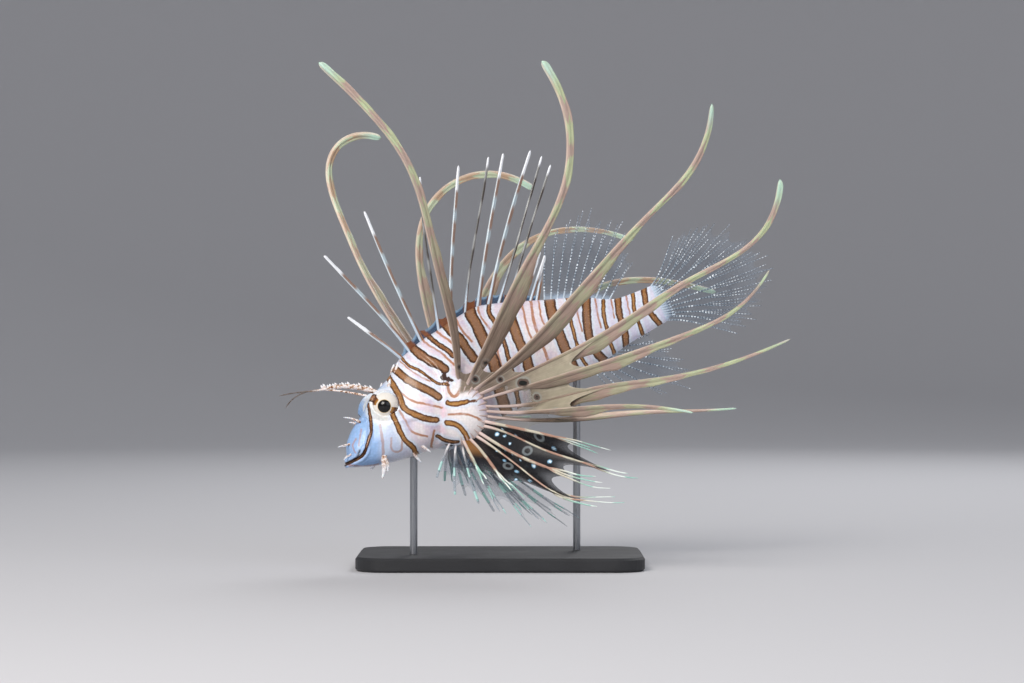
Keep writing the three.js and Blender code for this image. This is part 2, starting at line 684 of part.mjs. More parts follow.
// A bar round the front of the jaws, from one side to the other
function roundSnout([front, ...back], radii) {
  const left = back.map(([along, high]) => onSkin(along, high, 1));
  const right = back.map(([along, high]) => onSkin(along, high, -1));
  return bar([...right.reverse(), inFish(front[0], front[1], 0), ...left], radii, 5, 1, upward);
}

function headDetails(side) {
  const place = sided(side);
  const share = side > 0 ? 1 : farShare;
  const drawnIn = (root, spot) => place(root.map((value, index) => lerp(value, spot[index], share)));
  const spine = (root, tip, radius) => bar([root, tip], [radius, radius, 0.15], 5);
  return [
    orbit(side),
    brow(side),
    bar(jawBone.line.map(([along, high]) => onSkin(along, high, side)), jawBone.radii, 5),
    ...napeSpines.map(({ root, tip, radius }) => spine(place(root), place(tip), radius)),
    ...cheekSpines.map(({ root, tip, radius }) => spine(place(root), drawnIn(root, tip), radius)),
    ...faceTentacles.map(({ line, radii }) => bar(line.map((spot) => drawnIn(line[0], spot)), radii, 4)),
  ];
}

function nostrilPit(side) {
  const pit = new THREE.SphereGeometry(nostril.radius, 7, 5);
  pit.translate(...onSkin(nostril.along, nostril.high, side).toArray());
  return solid(pit);
}

// Stand

function standBase() {
  const { length, width, thick, corner, bevel } = stand;
  const [x, y] = [length / 2 - bevel, width / 2 - bevel];
  const outline = new THREE.Shape();
  outline.moveTo(-x + corner, -y);
  outline.lineTo(x - corner, -y);
  outline.absarc(x - corner, -y + corner, corner, -Math.PI / 2, 0);
  outline.absarc(x - corner, y - corner, corner, 0, Math.PI / 2);
  outline.absarc(-x + corner, y - corner, corner, Math.PI / 2, Math.PI);
  outline.absarc(-x + corner, -y + corner, corner, Math.PI, 1.5 * Math.PI);
  const plate = new THREE.ExtrudeGeometry(outline, {
    depth: thick - 2 * bevel,
    bevelThickness: bevel,
    bevelSize: bevel,
    bevelSegments: 1,
    curveSegments: 5,
  });
  plate.translate(0, 0, bevel);
  return solid(plate);
}

function standRod(along) {
  const foot = inFish(along, 0, 0);
  const tall = foot.z - stand.thick - gap;
  const profile = [[0, 0], [stand.rod, 0], [stand.rod, tall], [0, tall]];
  const rod = new THREE.LatheGeometry(profile.map(([x, y]) => new THREE.Vector2(x, y)), 12);
  rod.rotateX(Math.PI / 2);
  rod.translate(foot.x, foot.y, stand.thick + gap);
  return solid(rod);
}

// The whole model

const wholeBody = body(snoutEnd, bodyEnd, 24, 6, gap);
const bases = joined([finBase(1, gap), finBase(-1, gap)]);
const clearance = wholeBody.add(bases);

const head = joined([
  body(snoutEnd, gillCut - gap / 2, 24, 5),
  roundSnout(upperLip, lipRadii),
  roundSnout(lowerLip, lipRadii),
  ...headDetails(1),
  ...headDetails(-1),
]).subtract(joined([
  roundSnout(mouthLine, [mouthDepth, mouthDepth]),
  nostrilPit(1),
  nostrilPit(-1),
  eyeball(1, gap),
  eyeball(-1, gap),
]));
const headRoom = body(snoutEnd, gillCut + gap / 2, 24, 5, gap);
const trunk = body(gillCut + gap / 2, loinCut - gap / 2, 24, 8)
  .add(finBase(1))
  .add(finBase(-1))
  .subtract(headRoom);
const tail = body(loinCut + gap / 2, bodyEnd, 20, 7);

const model = new THREE.Group();
model.add(
  part('head', head, skinPaint),
  part('trunk', trunk, skinPaint),
  part('tail', tail, skinPaint),
  part('eye_left', eyeball(1), eyePaint),
  part('eye_right', eyeball(-1), eyePaint),
  part('dorsal_spines', spinyDorsal().subtract(clearance), spinePaint),
  part('dorsal_soft_fin', softDorsal().subtract(clearance), clearFin),
  part('tail_fin', tailFin().subtract(clearance), clearFin),
  part('anal_fin', analFin().subtract(clearance), clearFin),
  part('stand_base', standBase(), standPaint),
  part('stand_rod_front', standRod(frontRodAlong).subtract(clearance), steel),
  part('stand_rod_rear', standRod(rearRodAlong).subtract(clearance), steel),
);
for (const [name, side] of [['left', 1], ['right', -1]]) {
  model.add(
    part(`pectoral_${name}_upper`, pectoralFin(side, pectoralParts.upper).subtract(clearance), finPaint),
    part(`pectoral_${name}_lower`, pectoralFin(side, pectoralParts.lower).subtract(clearance), finPaint),
    part(`pelvic_fin_${name}`, pelvicFin(pelvicFins[name]).subtract(clearance), clearFin),
    part(`brow_tentacle_${name}`, browTentacle(side, browTentacles[name])
      .subtract(joined([clearance, brow(side, gap), orbit(side, gap), eyeball(side, gap)])), finPaint),
  );
}

export default model;
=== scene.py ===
import json
import math
from functools import partial

import bpy
import numpy as np
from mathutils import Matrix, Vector

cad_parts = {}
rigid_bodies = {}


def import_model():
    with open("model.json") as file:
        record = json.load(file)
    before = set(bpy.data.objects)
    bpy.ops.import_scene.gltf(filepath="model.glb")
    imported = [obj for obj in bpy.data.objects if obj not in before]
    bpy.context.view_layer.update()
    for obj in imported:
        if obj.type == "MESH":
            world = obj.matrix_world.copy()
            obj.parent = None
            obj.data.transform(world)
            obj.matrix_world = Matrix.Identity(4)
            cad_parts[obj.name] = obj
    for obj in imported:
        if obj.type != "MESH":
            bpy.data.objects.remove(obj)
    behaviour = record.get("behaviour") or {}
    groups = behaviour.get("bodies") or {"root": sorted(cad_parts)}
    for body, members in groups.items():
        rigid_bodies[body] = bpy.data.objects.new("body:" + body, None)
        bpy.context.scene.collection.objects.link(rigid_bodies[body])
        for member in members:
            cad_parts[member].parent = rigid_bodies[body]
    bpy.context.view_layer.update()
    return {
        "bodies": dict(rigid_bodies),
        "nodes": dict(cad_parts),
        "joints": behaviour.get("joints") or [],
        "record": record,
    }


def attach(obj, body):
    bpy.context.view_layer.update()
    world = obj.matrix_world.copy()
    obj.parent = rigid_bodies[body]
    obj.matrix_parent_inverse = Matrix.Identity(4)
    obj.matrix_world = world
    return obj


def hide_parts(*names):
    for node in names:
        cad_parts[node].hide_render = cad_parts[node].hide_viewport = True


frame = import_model()
print("frame loaded")

# The pose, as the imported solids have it
pose = dict(
    viewDistance=1222.0, eyeHeight=96.5, eyeAcross=5.0,  # where the viewer stands
    snoutAcross=-65.4, snoutUp=51.4,
    headDown=24.6,  # slope of the body's axis, degrees
    headTurn=0.488, bodyBend=0.001184, midBody=70.0,
)
slope = math.radians(pose["headDown"])
backward = np.array([math.cos(slope), 0.0, math.sin(slope)])
upward = np.array([-math.sin(slope), 0.0, math.cos(slope)])


# A smooth value at share t of a list of evenly spaced ones
def blend(values, t):
    values = np.asarray(values, float)
    last = len(values) - 1
    place = np.clip(t, 0, 1) * last
    low = np.minimum(np.floor(place).astype(int), last - 1)
    w = place - low
    p0, p1, p2, p3 = (values[np.clip(low + k, 0, last)] for k in (-1, 0, 1, 2))
    v0, v1 = 0.5 * (p2 - p0), 0.5 * (p3 - p1)
    return (2 * p1 - 2 * p2 + v0 + v1) * w**3 + (-3 * p1 + 3 * p2 - 2 * v0 - v1) * w**2 + v0 * w + p1


def lerp(a, b, t):
    return a + (b - a) * t


def smoothstep(a, b, x):
    t = np.clip((x - a) / (b - a), 0, 1)
    return t * t * (3 - 2 * t)


def unit(v):
    return v / np.maximum(np.linalg.norm(v, axis=-1, keepdims=True), 1e-9)


def drift(along):
    return pose["headTurn"] * along - pose["bodyBend"] * along**2


def turnAt(along):
    return np.arctan(pose["headTurn"] - 2 * pose["bodyBend"] * along)


# A point that looks (across, up) from the viewer's place and lies nearer to them by so much
def seen(across, up, nearer):
    across, up, nearer = np.broadcast_arrays(*(np.asarray(v, float) for v in (across, up, nearer)))
    share = 1 - nearer / pose["viewDistance"]
    x = pose["eyeAcross"] + (across - pose["eyeAcross"]) * share
    z = pose["eyeHeight"] + (up - pose["eyeHeight"]) * share
    return np.stack([x, -nearer, z], -1)


def seenFrom(place):
    share = 1 + place[..., 1] / pose["viewDistance"]
    across = pose["eyeAcross"] + (place[..., 0] - pose["eyeAcross"]) / share
    return across, pose["eyeHeight"] + (place[..., 2] - pose["eyeHeight"]) / share


# The fish's own left, at a place along its axis
def leftward(along):
    turn = turnAt(np.asarray(along, float))
    return np.stack([np.sin(turn) * backward[0], -np.cos(turn), np.sin(turn) * backward[2]], -1)


# A point in the fish: along its axis from the snout, high over it, to its left
def inFish(along, high, left):
    along, high, left = np.broadcast_arrays(*(np.asarray(v, float) for v in (along, high, left)))
    nearer = drift(pose["midBody"]) - drift(along)
    share = 1 - nearer / pose["viewDistance"]
    axis = seen(pose["snoutAcross"] + backward[0] * along, pose["snoutUp"] + backward[2] * along, nearer)
    return axis + upward * (high * share)[..., None] + leftward(along) * left[..., None]


# A mesh piece from points in millimetres, faces, and values kept on its points for the material
def makePiece(name, points, faces, materials, replaces=(), values=None, faceMaterials=None):
    mesh = bpy.data.meshes.new(name)
    mesh.from_pydata((np.asarray(points) * 0.001).tolist(), [], faces)
    mesh.polygons.foreach_set("use_smooth", np.ones(len(mesh.polygons), bool))
    for key, value in (values or {}).items():
        layer = mesh.attributes.new(key, "FLOAT", "POINT")
        layer.data.foreach_set("value", np.asarray(value, np.float32).ravel())
    for material in materials:
        mesh.materials.append(material)
    if faceMaterials is not None:
        mesh.polygons.foreach_set("material_index", np.asarray(faceMaterials, np.int32))
    piece = bpy.data.objects.new(name, mesh)
    bpy.context.scene.collection.objects.link(piece)
    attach(piece, "root")
    if replaces:
        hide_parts(*replaces)
    print(name, sum(len(face) - 2 for face in faces), "triangles")
    return piece


def volumeOf(points, faces):
    total = 0.0
    for size in (3, 4):
        some = np.array([face for face in faces if len(face) == size])
        for k in range(1, size - 1):
            if len(some):
                a, b, c = points[some[:, 0]], points[some[:, k]], points[some[:, k + 1]]
                total += (a * np.cross(b, c)).sum()
    return total


# Closed shells that end up together in one piece
class Shells:
    def __init__(self):
        self.points, self.faces, self.values, self.kinds, self.count = [], [], [], [], 0

    def add(self, points, faces, kind=0, **values):
        points = np.asarray(points, float).reshape(-1, 3)
        if volumeOf(points, faces) < 0:
            faces = [face[::-1] for face in faces]
        self.faces.extend([[index + self.count for index in face] for face in faces])
        self.points.append(points)
        self.kinds += [kind] * len(faces)
        self.values.append((self.count, len(points), values))
        self.count += len(points)

    def make(self, name, materials, slot, replaces=(), marks=None):
        keys = {key for _, _, values in self.values for key in values}
        whole = {key: np.zeros(self.count) for key in sorted(keys)}
        for start, count, values in self.values:
            for key, value in values.items():
                whole[key][start:start + count] = np.asarray(value, float).ravel()
        points = np.concatenate(self.points)
        if marks:
            whole.update(marks(points))
        return makePiece(name, points, self.faces, materials, replaces, whole, self.kinds)


# Quads over a grid of rows and columns, closed round the columns when it is a ring
def gridFaces(rows, columns, ring=False, flip=False):
    row, column = np.meshgrid(np.arange(rows - 1), np.arange(columns if ring else columns - 1), indexing="ij")
    after = (column + 1) % columns
    a, b = row * columns + column, row * columns + after
    c, d = b + columns, a + columns
    return np.stack([a, d, c, b] if flip else [a, b, c, d], -1).reshape(-1, 4).tolist()


# Triangles that close the two ends of a ring grid, onto two points that come after its own
def capFaces(rows, columns):
    faces, first = [], rows * columns
    for column in range(columns):
        after = (column + 1) % columns
        faces.append([first, after, column])
        faces.append([first + 1, first - columns + column, first - columns + after])
    return faces


# A closed tube through rings of points; a value may be one number, one for each ring, or one for each point
def addTube(shells, rings, kind=0, **values):
    rows, columns = rings.shape[:2]
    points = np.concatenate([rings.reshape(-1, 3), [rings[0].mean(0), rings[-1].mean(0)]])
    faces = gridFaces(rows, columns, ring=True) + capFaces(rows, columns)
    spread = {}
    for key, value in values.items():
        value = np.asarray(value, float)
        if value.ndim == 1:
            value = value[:, None]
        grid = np.broadcast_to(value, (rows, columns))
        spread[key] = np.concatenate([grid.ravel(), [grid[0].mean(), grid[-1].mean()]])
    shells.add(points, faces, kind, **spread)


# Rings of a round bar along points, with its first column towards the given side
def barRings(points, radii, columns=12, squash=1.0, side=(0.0, -1.0, 0.0)):
    ahead = unit(np.gradient(points, axis=0))
    side = np.asarray(side, float)
    out = unit(side - ahead * (ahead @ side)[:, None])
    over = np.cross(ahead, out)
    angle = 2 * math.pi * np.arange(columns) / columns
    radii = np.broadcast_to(np.asarray(radii, float), (len(points),))[:, None, None]
    ring = out[:, None] * np.cos(angle)[:, None] * squash + over[:, None] * np.sin(angle)[:, None]
    return points[:, None] + ring * radii


# A thin closed sheet over a grid of points: two faces so far from its middle, joined round the rim
def addSheet(shells, grid, half, kind=0, **values):
    rows, columns = grid.shape[:2]
    down, across = np.gradient(grid, axis=0), np.gradient(grid, axis=1)
    normal = unit(np.cross(down, across))
    half = np.broadcast_to(np.asarray(half, float), (rows, columns))[..., None]
    points = np.concatenate([(grid + normal * half).reshape(-1, 3), (grid - normal * half).reshape(-1, 3)])
    other = rows * columns
    faces = gridFaces(rows, columns, flip=True)
    faces += [[index + other for index in face] for face in gridFaces(rows, columns)]
    rim = [(0, c) for c in range(columns)] + [(r, columns - 1) for r in range(1, rows)]
    rim += [(rows - 1, c) for c in range(columns - 2, -1, -1)] + [(r, 0) for r in range(rows - 2, 0, -1)]
    rim = [r * columns + c for r, c in rim]
    for here, there in zip(rim, rim[1:] + rim[:1]):
        faces.append([here, there, there + other, here + other])
    spread = {}
    for key, value in values.items():
        flat = np.broadcast_to(np.asarray(value, float), (rows, columns)).ravel()
        spread[key] = np.concatenate([flat, flat])
    shells.add(points, faces, kind, **spread)


# An sRGB hex colour as the linear numbers that Blender wants
def colour(code, alpha=1.0):
    parts = [int(code[k:k + 2], 16) / 255 for k in (1, 3, 5)]
    return (*(c / 12.92 if c <= 0.04045 else ((c + 0.055) / 1.055) ** 2.4 for c in parts), alpha)


# What a kind of node is set to, and which of its outputs is meant, where a call doesn't say
usual = dict(
    MapRange=dict(interpolation_type="SMOOTHSTEP"), Mix=dict(data_type="RGBA"), Math=dict(operation="MULTIPLY"),
)
usualOut = dict(Mix=2, Attribute="Fac", TexCoord="Object")
straight = dict(interpolation_type="LINEAR")


# Adds a node with its settings and links: plain values fill its sockets in order, names with a capital
# are sockets and other names are settings. Gives back one of its outputs
def addNode(tree, kind, *values, out=None, stops=(), **named):
    node = tree.nodes.new("ShaderNode" + kind)
    settings = {key: value for key, value in named.items() if not key[0].isupper()}
    for key, value in {**usual.get(kind, {}), **settings}.items():
        setattr(node, key, value)
    order = (0, 6, 7) if kind == "Mix" else range(len(values))  # a colour mix's share and two colours
    for key, value in [*zip(order, values), *((key, named[key]) for key in named if key not in settings)]:
        if isinstance(value, bpy.types.NodeSocket):
            tree.links.new(value, node.inputs[key])
        else:
            node.inputs[key].default_value = colour(value) if isinstance(value, str) else value
    for index, (place, code) in enumerate(stops):
        ramp = node.color_ramp.elements
        stop = ramp[index] if index < 2 else ramp.new(place)
        stop.position, stop.color = place, colour(code)
    return node.outputs[usualOut.get(kind, 0) if out is None else out] if len(node.outputs) else None


# A new material, the way to add its nodes, and the values kept on the mesh that it reads
def startMaterial(name, *marks):
    material = bpy.data.materials.new(name)
    material.use_nodes = True
    material.node_tree.nodes.clear()
    add = partial(addNode, material.node_tree)
    return material, add, *(add("Attribute", attribute_name=key) for key in marks)


# Lays a colour over the paint as a value goes from start to end, at most so strongly
def wash(add, paint, value, over, start, end, most=1.0, **settings):
    return add("Mix", add("MapRange", value, start, end, 0.0, most, **settings), paint, over)


# Lays a colour over the paint where the mesh marks it
def tint(add, paint, mark, over, most):
    return add("Mix", add("Math", mark, most), paint, over)


# A share made less as another value nears one
def lessBy(add, share, value, least):
    return add("Math", share, add("MapRange", value, 0.0, 1.0, 1.0, least, **straight))


# How far a value is from a number
def awayFrom(add, value, middle):
    return add("Math", add("Math", value, middle, operation="SUBTRACT"), operation="ABSOLUTE")


# A value pushed to and fro by a noise
def pushed(add, value, noise, push):
    shift = add("Math", noise, 0.5, operation="SUBTRACT")
    return add("Math", shift, push, value, operation="MULTIPLY_ADD")


noiseSpan = (0.3, 0.7)  # where nearly all of a noise's values lie


# The paint darkened and lightened by a noise
def mottled(add, paint, noise, dark, light, span=noiseSpan):
    return add("Mix", 1.0, paint, add("MapRange", noise, *span, dark, light, **straight), blend_type="MULTIPLY")


# Noise over values kept on the mesh, some of them scaled, so that it can run along a ray
def noiseOver(add, *parts, **settings):
    scaled = [add("Math", *part) if isinstance(part, tuple) else part for part in parts]
    return add("TexNoise", add("CombineXYZ", *scaled), Scale=1.0, **settings)


# A sine along a value, shifted by others
def waves(add, value, period, *shifts):
    turn = add("Math", value, 2 * math.pi / period)
    for shift in shifts:
        turn = add("Math", *shift, turn, operation="MULTIPLY_ADD")
    return add("Math", turn, operation="SINE")


# The surface itself: reliefs (height, strength, depth in mm), a clear coat (weight, roughness) and
# light that soaks in (weight, radius, scale). Roughness is a number, or a noise with its low and high
def finishMaterial(material, add, paint, rough, reliefs, coat=None, soft=None, **more):
    if isinstance(rough, tuple):
        rough = add("MapRange", rough[0], *noiseSpan, *rough[1:], **straight)
    surface = {"Base Color": paint, "Roughness": rough, "IOR": 1.4, **more}
    for height, strength, depth, *inward in reliefs:
        under = {"Normal": surface["Normal"]} if "Normal" in surface else {}
        surface["Normal"] = add(
            "Bump", Height=height, Strength=strength, Distance=depth / 1000, invert=bool(inward), **under)
    if coat:
        surface["Coat Weight"], surface["Coat Roughness"] = coat
    if soft:
        surface["Subsurface Weight"], surface["Subsurface Radius"], surface["Subsurface Scale"] = soft
    add("OutputMaterial", Surface=add("BsdfPrincipled", **surface))
    return material


# Scaled skin under a thin wet film: soft speckled bands with dark rims, small scales that catch the light
# A colour with numbers is a wash: where it starts, where it is full, and how strong it is there
skinLook = dict(
    bare=[(0.3, "#dccfe6"), (0.48, "#f3e4ec"), (0.62, "#fdf6f8"), (0.78, "#f3d9dc")],
    regions=dict(  # colour and strength of what the mesh marks
        blueFace=("#c3dbf9", 0.75), tailStock=("#d9dbf6", 0.7), back=("#dccfe2", 0.45), belly=("#f6f2fa", 0.6),
        whiteBase=("#fffafa", 0.85), snoutBlue=("#8fb9ec", 0.85), eyeRound=("#f9f8f2", 0.9),
        # the lavender grey on the fin base's rear rim is painted shade under the ray feet
        gillPink=("#ecc9da", 0.75), baseRear=("#c3b8d2", 0.8), tailRoot=("#cfe1f4", 0.9), tailSmoke=("#64788e", 0.9),
    ),
    halo="#eaf2ff", haloReach=(-1.9, -0.35, 0.0, 0.85), haloOnSnout=0.15,
    line="#b8784c", lineEdge=(0.2, -0.18), lineEnd=(1.5, 0.8), lineBroken=(0.3, 0.5, 0.45, 0.9), lineOnFace=0.6,
    brown="#7e4a24", gold="#c08a3c", speckle=("#c99a70", 0.46, 0.66, 0.75), heart=("#9c7459", 0.8, 1.9, 0.8),
    rim="#3a1a0b", goldRim="#6b3d16", rimStart=0.4, bandEdge=(-0.12, 0.12),
    tan="#8d7f70", white=("#ffffff", -0.15, 0.15), mouthSlit=("#1d1412", 0.92),
    wobble=0.8, fineWobble=0.288, lineWobble=0.7,  # how strongly noise pushes the edges, mm
    noises=[(6.0, 3.0, 0.6), (2.4, 1.0, 0.5), (0.7, 1.0, 0.5), (0.5, 2.0, 0.7)],  # size in mm, detail, roughness
    scale=1.15, scaleShade=(1.03, 0.9, (0.1, 0.75)), rough=(0.32, 0.5),
)


skinValues = (
    "bandDepth", "bandGold", "rimReach", "lineSide", "lineWidth", "lineNear", "tanFoot", "whiteSpot", "gumLine")


def makeSkinMaterial():
    look = skinLook
    material, add, *kept = startMaterial("scaledSkin", *skinValues, *look["regions"])
    (depth, bandGold, rimReach, lineSide, lineWidth, lineNear, tanFoot, whiteSpot, gumLine) = kept[:len(skinValues)]
    regions = dict(zip(look["regions"], kept[len(skinValues):]))
    place = add("TexCoord")
    patches, stray, fine, specks = (
        add("TexNoise", place, Scale=1000 / size, Detail=detail, Roughness=rough)
        for size, detail, rough in look["noises"])
    depth = pushed(add, depth, stray, look["wobble"])
    depth = pushed(add, depth, fine, look["fineWobble"])

    # bare skin: lavender and pink white, bluer on the face, whitest on the fin base, with painted shade on the base's
    # rear rim
    bare = add("ValToRGB", patches, stops=look["bare"])
    for key, region in look["regions"].items():
        bare = tint(add, bare, regions[key], *region)
    halo = lessBy(add, add("MapRange", depth, *look["haloReach"]), regions["snoutBlue"], look["haloOnSnout"])
    bare = add("Mix", halo, bare, look["halo"])

    # thin lines between the bands, broken here and there
    offset = add("Math", pushed(add, lineSide, stray, look["lineWobble"]), operation="ABSOLUTE")
    offset = add("Math", lineWidth, -0.5, offset, operation="MULTIPLY_ADD")
    line = add("MapRange", offset, *look["lineEdge"])
    line = add("Math", line, add("MapRange", lineNear, *look["lineEnd"]))
    line = add("Math", line, add("MapRange", patches, *look["lineBroken"]))
    bare = add("Mix", lessBy(add, line, regions["blueFace"], look["lineOnFace"]), bare, look["line"])

    # the bands: a dark rim, then brown or gold with fine pale specks
    inside = add("Mix", bandGold, look["brown"], look["gold"])
    inside = wash(add, inside, specks, *look["speckle"])
    inside = wash(add, inside, depth, *look["heart"])
    rim = add("Mix", bandGold, look["rim"], look["goldRim"])
    band = wash(add, rim, depth, inside, look["rimStart"], rimReach)
    paint = wash(add, bare, depth, band, *look["bandEdge"])
    paint = add("Mix", tanFoot, paint, look["tan"])
    paint = wash(add, paint, whiteSpot, *look["white"])
    # near black along the slit of the mouth
    paint = tint(add, paint, gumLine, *look["mouthSlit"])

    # small overlapping scales, drawn a little coarser than life so that they show
    scales = add("TexVoronoi", place, Scale=1000 / look["scale"], Randomness=0.7)
    paint = mottled(add, paint, scales, *look["scaleShade"])
    return finishMaterial(
        material, add, paint, (fine, *look["rough"]), [(scales, 0.35, 0.12, True), (specks, 0.25, 0.06)],
        coat=(0.35, 0.14), soft=(0.12, (1.0, 0.5, 0.4), 0.0012))


# Horny skin over long fin rays: lengthwise striations, soft bands along the ray, pale green towards the tip, painted
# shade on the trailing half
bladeLook = dict(
    base="#c9b4ae", foot="#a6907f", footShade="#62564c", footReach=(3.0, 11.0),
    faint=("#ab958a", "#a8a58c"), faintFrom=(22.0, 75.0), clearFrom=(55.0, 120.0),
    clear=dict(near=("#b8a298", "#bdc8a2"), far=("#bfa48a", "#c3d0b2")),
    tip="#c2e6d4", tipReach=(14.0, 3.0, 0.0, 0.85), dullRays=4.5, dullReach=(0.7, 1.1, 0.35, 1.0),
    edgeLine=("#e2cdbf", -0.25, -0.8, 0.6),
    groove="#5a463a", grooveAt=0.95, grooveReach=(0.45, 0.05, 0.0, 0.45), grooveOut=0.35,
    rearShadeReach=(0.1, 0.9), rearShadeInner=(70.0, 35.0, 0.1, 0.6), shade=(0.8, 1.12),
    spot=[("#9aa4a2", 2.6, 1.7, 0.15), ("#4c2c22", 1.7, 1.0, 0.45), ("#121512", 1.2, 0.5, 0.95)],
    period=17.0, stray=9.0, fibre=0.5, bandEdge=(-0.55, 0.55), rough=(0.34, 0.52),
)


def makeBladeMaterial(name, far):
    look = bladeLook
    material, add, walked, wide, code, left, place, spot, clearTo = startMaterial(
        name, "walked", "wide", "code", "left", "place", "eyeSpot", "clearTo")
    fibres = noiseOver(add, (wide, 1 / look["fibre"]), (walked, 0.12), (code, 17.0), Detail=3.0, Roughness=0.6)
    stray = noiseOver(add, (walked, 1 / look["stray"]), (code, 17.0), wide, Detail=1.0)
    wave = waves(add, walked, look["period"], (code, 2.1), (stray, 7.0))
    wave = add("MapRange", wave, *look["bandEdge"])
    # near the foot the bands are faint on tan, further out clear on pink
    foot = add("Mix", fibres, look["footShade"], look["foot"])
    bare = add("MapRange", add("Math", clearTo, 0.55, walked, operation="MULTIPLY_ADD"), *look["footReach"])
    foot = add("Mix", bare, look["base"], foot)
    farOut = add("MapRange", walked, *look["clearFrom"])
    paint = wash(add, foot, walked, add("Mix", wave, *look["faint"]), *look["faintFrom"])
    paint = add("Mix", farOut, paint, add("Mix", wave, *look["clear"]["far" if far else "near"]))
    tip = add("MapRange", left, *look["tipReach"])
    if not far:  # two rays of the near fin end dull
        dull = awayFrom(add, code, look["dullRays"])
        tip = add("Math", tip, add("MapRange", dull, *look["dullReach"], **straight))
    paint = add("Mix", tip, paint, look["tip"])
    # a pale leading edge, and a shaded groove behind the ridge
    paint = wash(add, paint, wide, *look["edgeLine"])
    groove = add("MapRange", awayFrom(add, wide, look["grooveAt"]), *look["grooveReach"])
    paint = add("Mix", lessBy(add, groove, farOut, look["grooveOut"]), paint, look["groove"])
    # painted shade: the trailing half of each blade is darkened, most strongly near the root
    rear = add("MapRange", place, *look["rearShadeReach"])
    rear = add("Math", rear, add("MapRange", walked, *look["rearShadeInner"], **straight))
    paint = add("Mix", add("Math", rear, bare), paint, look["footShade"])
    paint = mottled(add, paint, fibres, *look["shade"])
    for ring in look["spot"]:  # eye spots: a pale halo, a red-brown ring and a black middle
        paint = wash(add, paint, spot, *ring)
    return finishMaterial(
        material, add, paint, (stray, *look["rough"]), [(fibres, 0.4, 0.15)],
        coat=(0.15, 0.2), soft=(0.15, (1.0, 0.7, 0.5), 0.001))


# Membrane between the long rays: thin skin, clear at its foot and tan-green towards its edge
webLook = dict(
    foot="#7b6d60", edge=("#a8a08c", 8.0, 45.0), vein=("#c9b6a6", 0.5, 0.75, 0.55), shade=(0.85, 1.1),
    spot=[("#9aa4a2", 2.6, 1.8, 0.45), ("#4c2c22", 1.7, 1.3, 0.8), ("#121512", 1.0, 0.7, 1.0)],
    spotVeil=(2.6, 1.8, 0.0, 0.9), veil=(-5.0, 5.0, 0.1, 0.97), rough=(0.32, 0.48),
)


def makeWebMaterial():
    look = webLook
    material, add, walked, between, code, clearTo, spot = startMaterial(
        "stretchedFinSkin", "walked", "between", "code", "clearTo", "eyeSpot")
    veins = noiseOver(add, (between, 22.0), (walked, 0.1), (code, 13.0), Detail=3.0, Roughness=0.6)
    mottle = add("TexNoise", add("TexCoord"), Scale=220.0, Detail=2.0)
    paint = wash(add, look["foot"], walked, *look["edge"])
    paint = wash(add, paint, veins, *look["vein"], **straight)
    paint = mottled(add, paint, mottle, *look["shade"])
    for ring in look["spot"]:
        paint = wash(add, paint, spot, *ring)
    beyond = add("Math", walked, clearTo, operation="SUBTRACT")
    veil = add("MapRange", beyond, *look["veil"])
    alpha = add("Math", veil, add("MapRange", spot, *look["spotVeil"]), operation="MAXIMUM")
    return finishMaterial(
        material, add, paint, (mottle, *look["rough"]), [(veins, 0.4, 0.1)], coat=(0.2, 0.15), Alpha=alpha)


# Dusky membrane of the lower fin: near black skin with blue-white drops on it
lobeLook = dict(
    dusk="#141318", duskEdge="#34363c", edgeReach=(9.0, 0.0), shade=(0.7, 1.35),
    gold="#8f6230", goldReach=(20.0, 11.0, 0.0, 0.95), goldPast=12.0,
    ring=("#7c8488", 0.7, 0.2, 0.9), ringAt=1.7,
    dropRim="#7fb6d8", dropRimReach=(1.7, 1.15), drop=("#eaf6ff", 1.25, 0.85), veil=(0.86, 0.5), rough=0.3,
)


def makeLobeWebMaterial():
    look = lobeLook
    material, add, walked, code, toEdge, ring, drop = startMaterial(
        "duskyFinSkin", "walked", "code", "toEdge", "ringSpot", "dropSpot")
    mottle = add("TexNoise", add("TexCoord"), Scale=400.0, Detail=3.0)
    edge = add("MapRange", toEdge, *look["edgeReach"])
    paint = add("Mix", edge, look["dusk"], look["duskEdge"])
    paint = mottled(add, paint, mottle, *look["shade"])
    # the gold band of the base runs on over the lowest membrane
    gold = add("MapRange", walked, *look["goldReach"])
    gold = add("Math", gold, add("Math", code, look["goldPast"], operation="GREATER_THAN"))
    paint = add("Mix", gold, paint, look["gold"])
    paint = wash(add, paint, awayFrom(add, ring, look["ringAt"]), *look["ring"])
    rim = add("MapRange", drop, *look["dropRimReach"])
    paint = add("Mix", rim, paint, look["dropRim"])
    paint = wash(add, paint, drop, *look["drop"])
    alpha = add("Math", add("MapRange", edge, 0.0, 1.0, *look["veil"], **straight), rim, operation="MAXIMUM")
    return finishMaterial(material, add, paint, look["rough"], [(mottle, 0.3, 0.1)], coat=(0.3, 0.1), Alpha=alpha)


# Rays of the lower fin: pink-tan skin that turns white and then aqua at the split tips
lobeRayLook = dict(
    foot="#dcc8c2", banded=("#b8917f", "#d2ccb9"), bandedFrom=(5.0, 13.0),
    tips=("#9ad6c8", "#f0fdf8"), tipsFrom=(20.0, 8.0, 0.9), shade=("#86644f", 0.15, 0.7, 0.5),
    period=19.0, bandEdge=(-0.4, 0.5), rough=(0.34, 0.5),
)


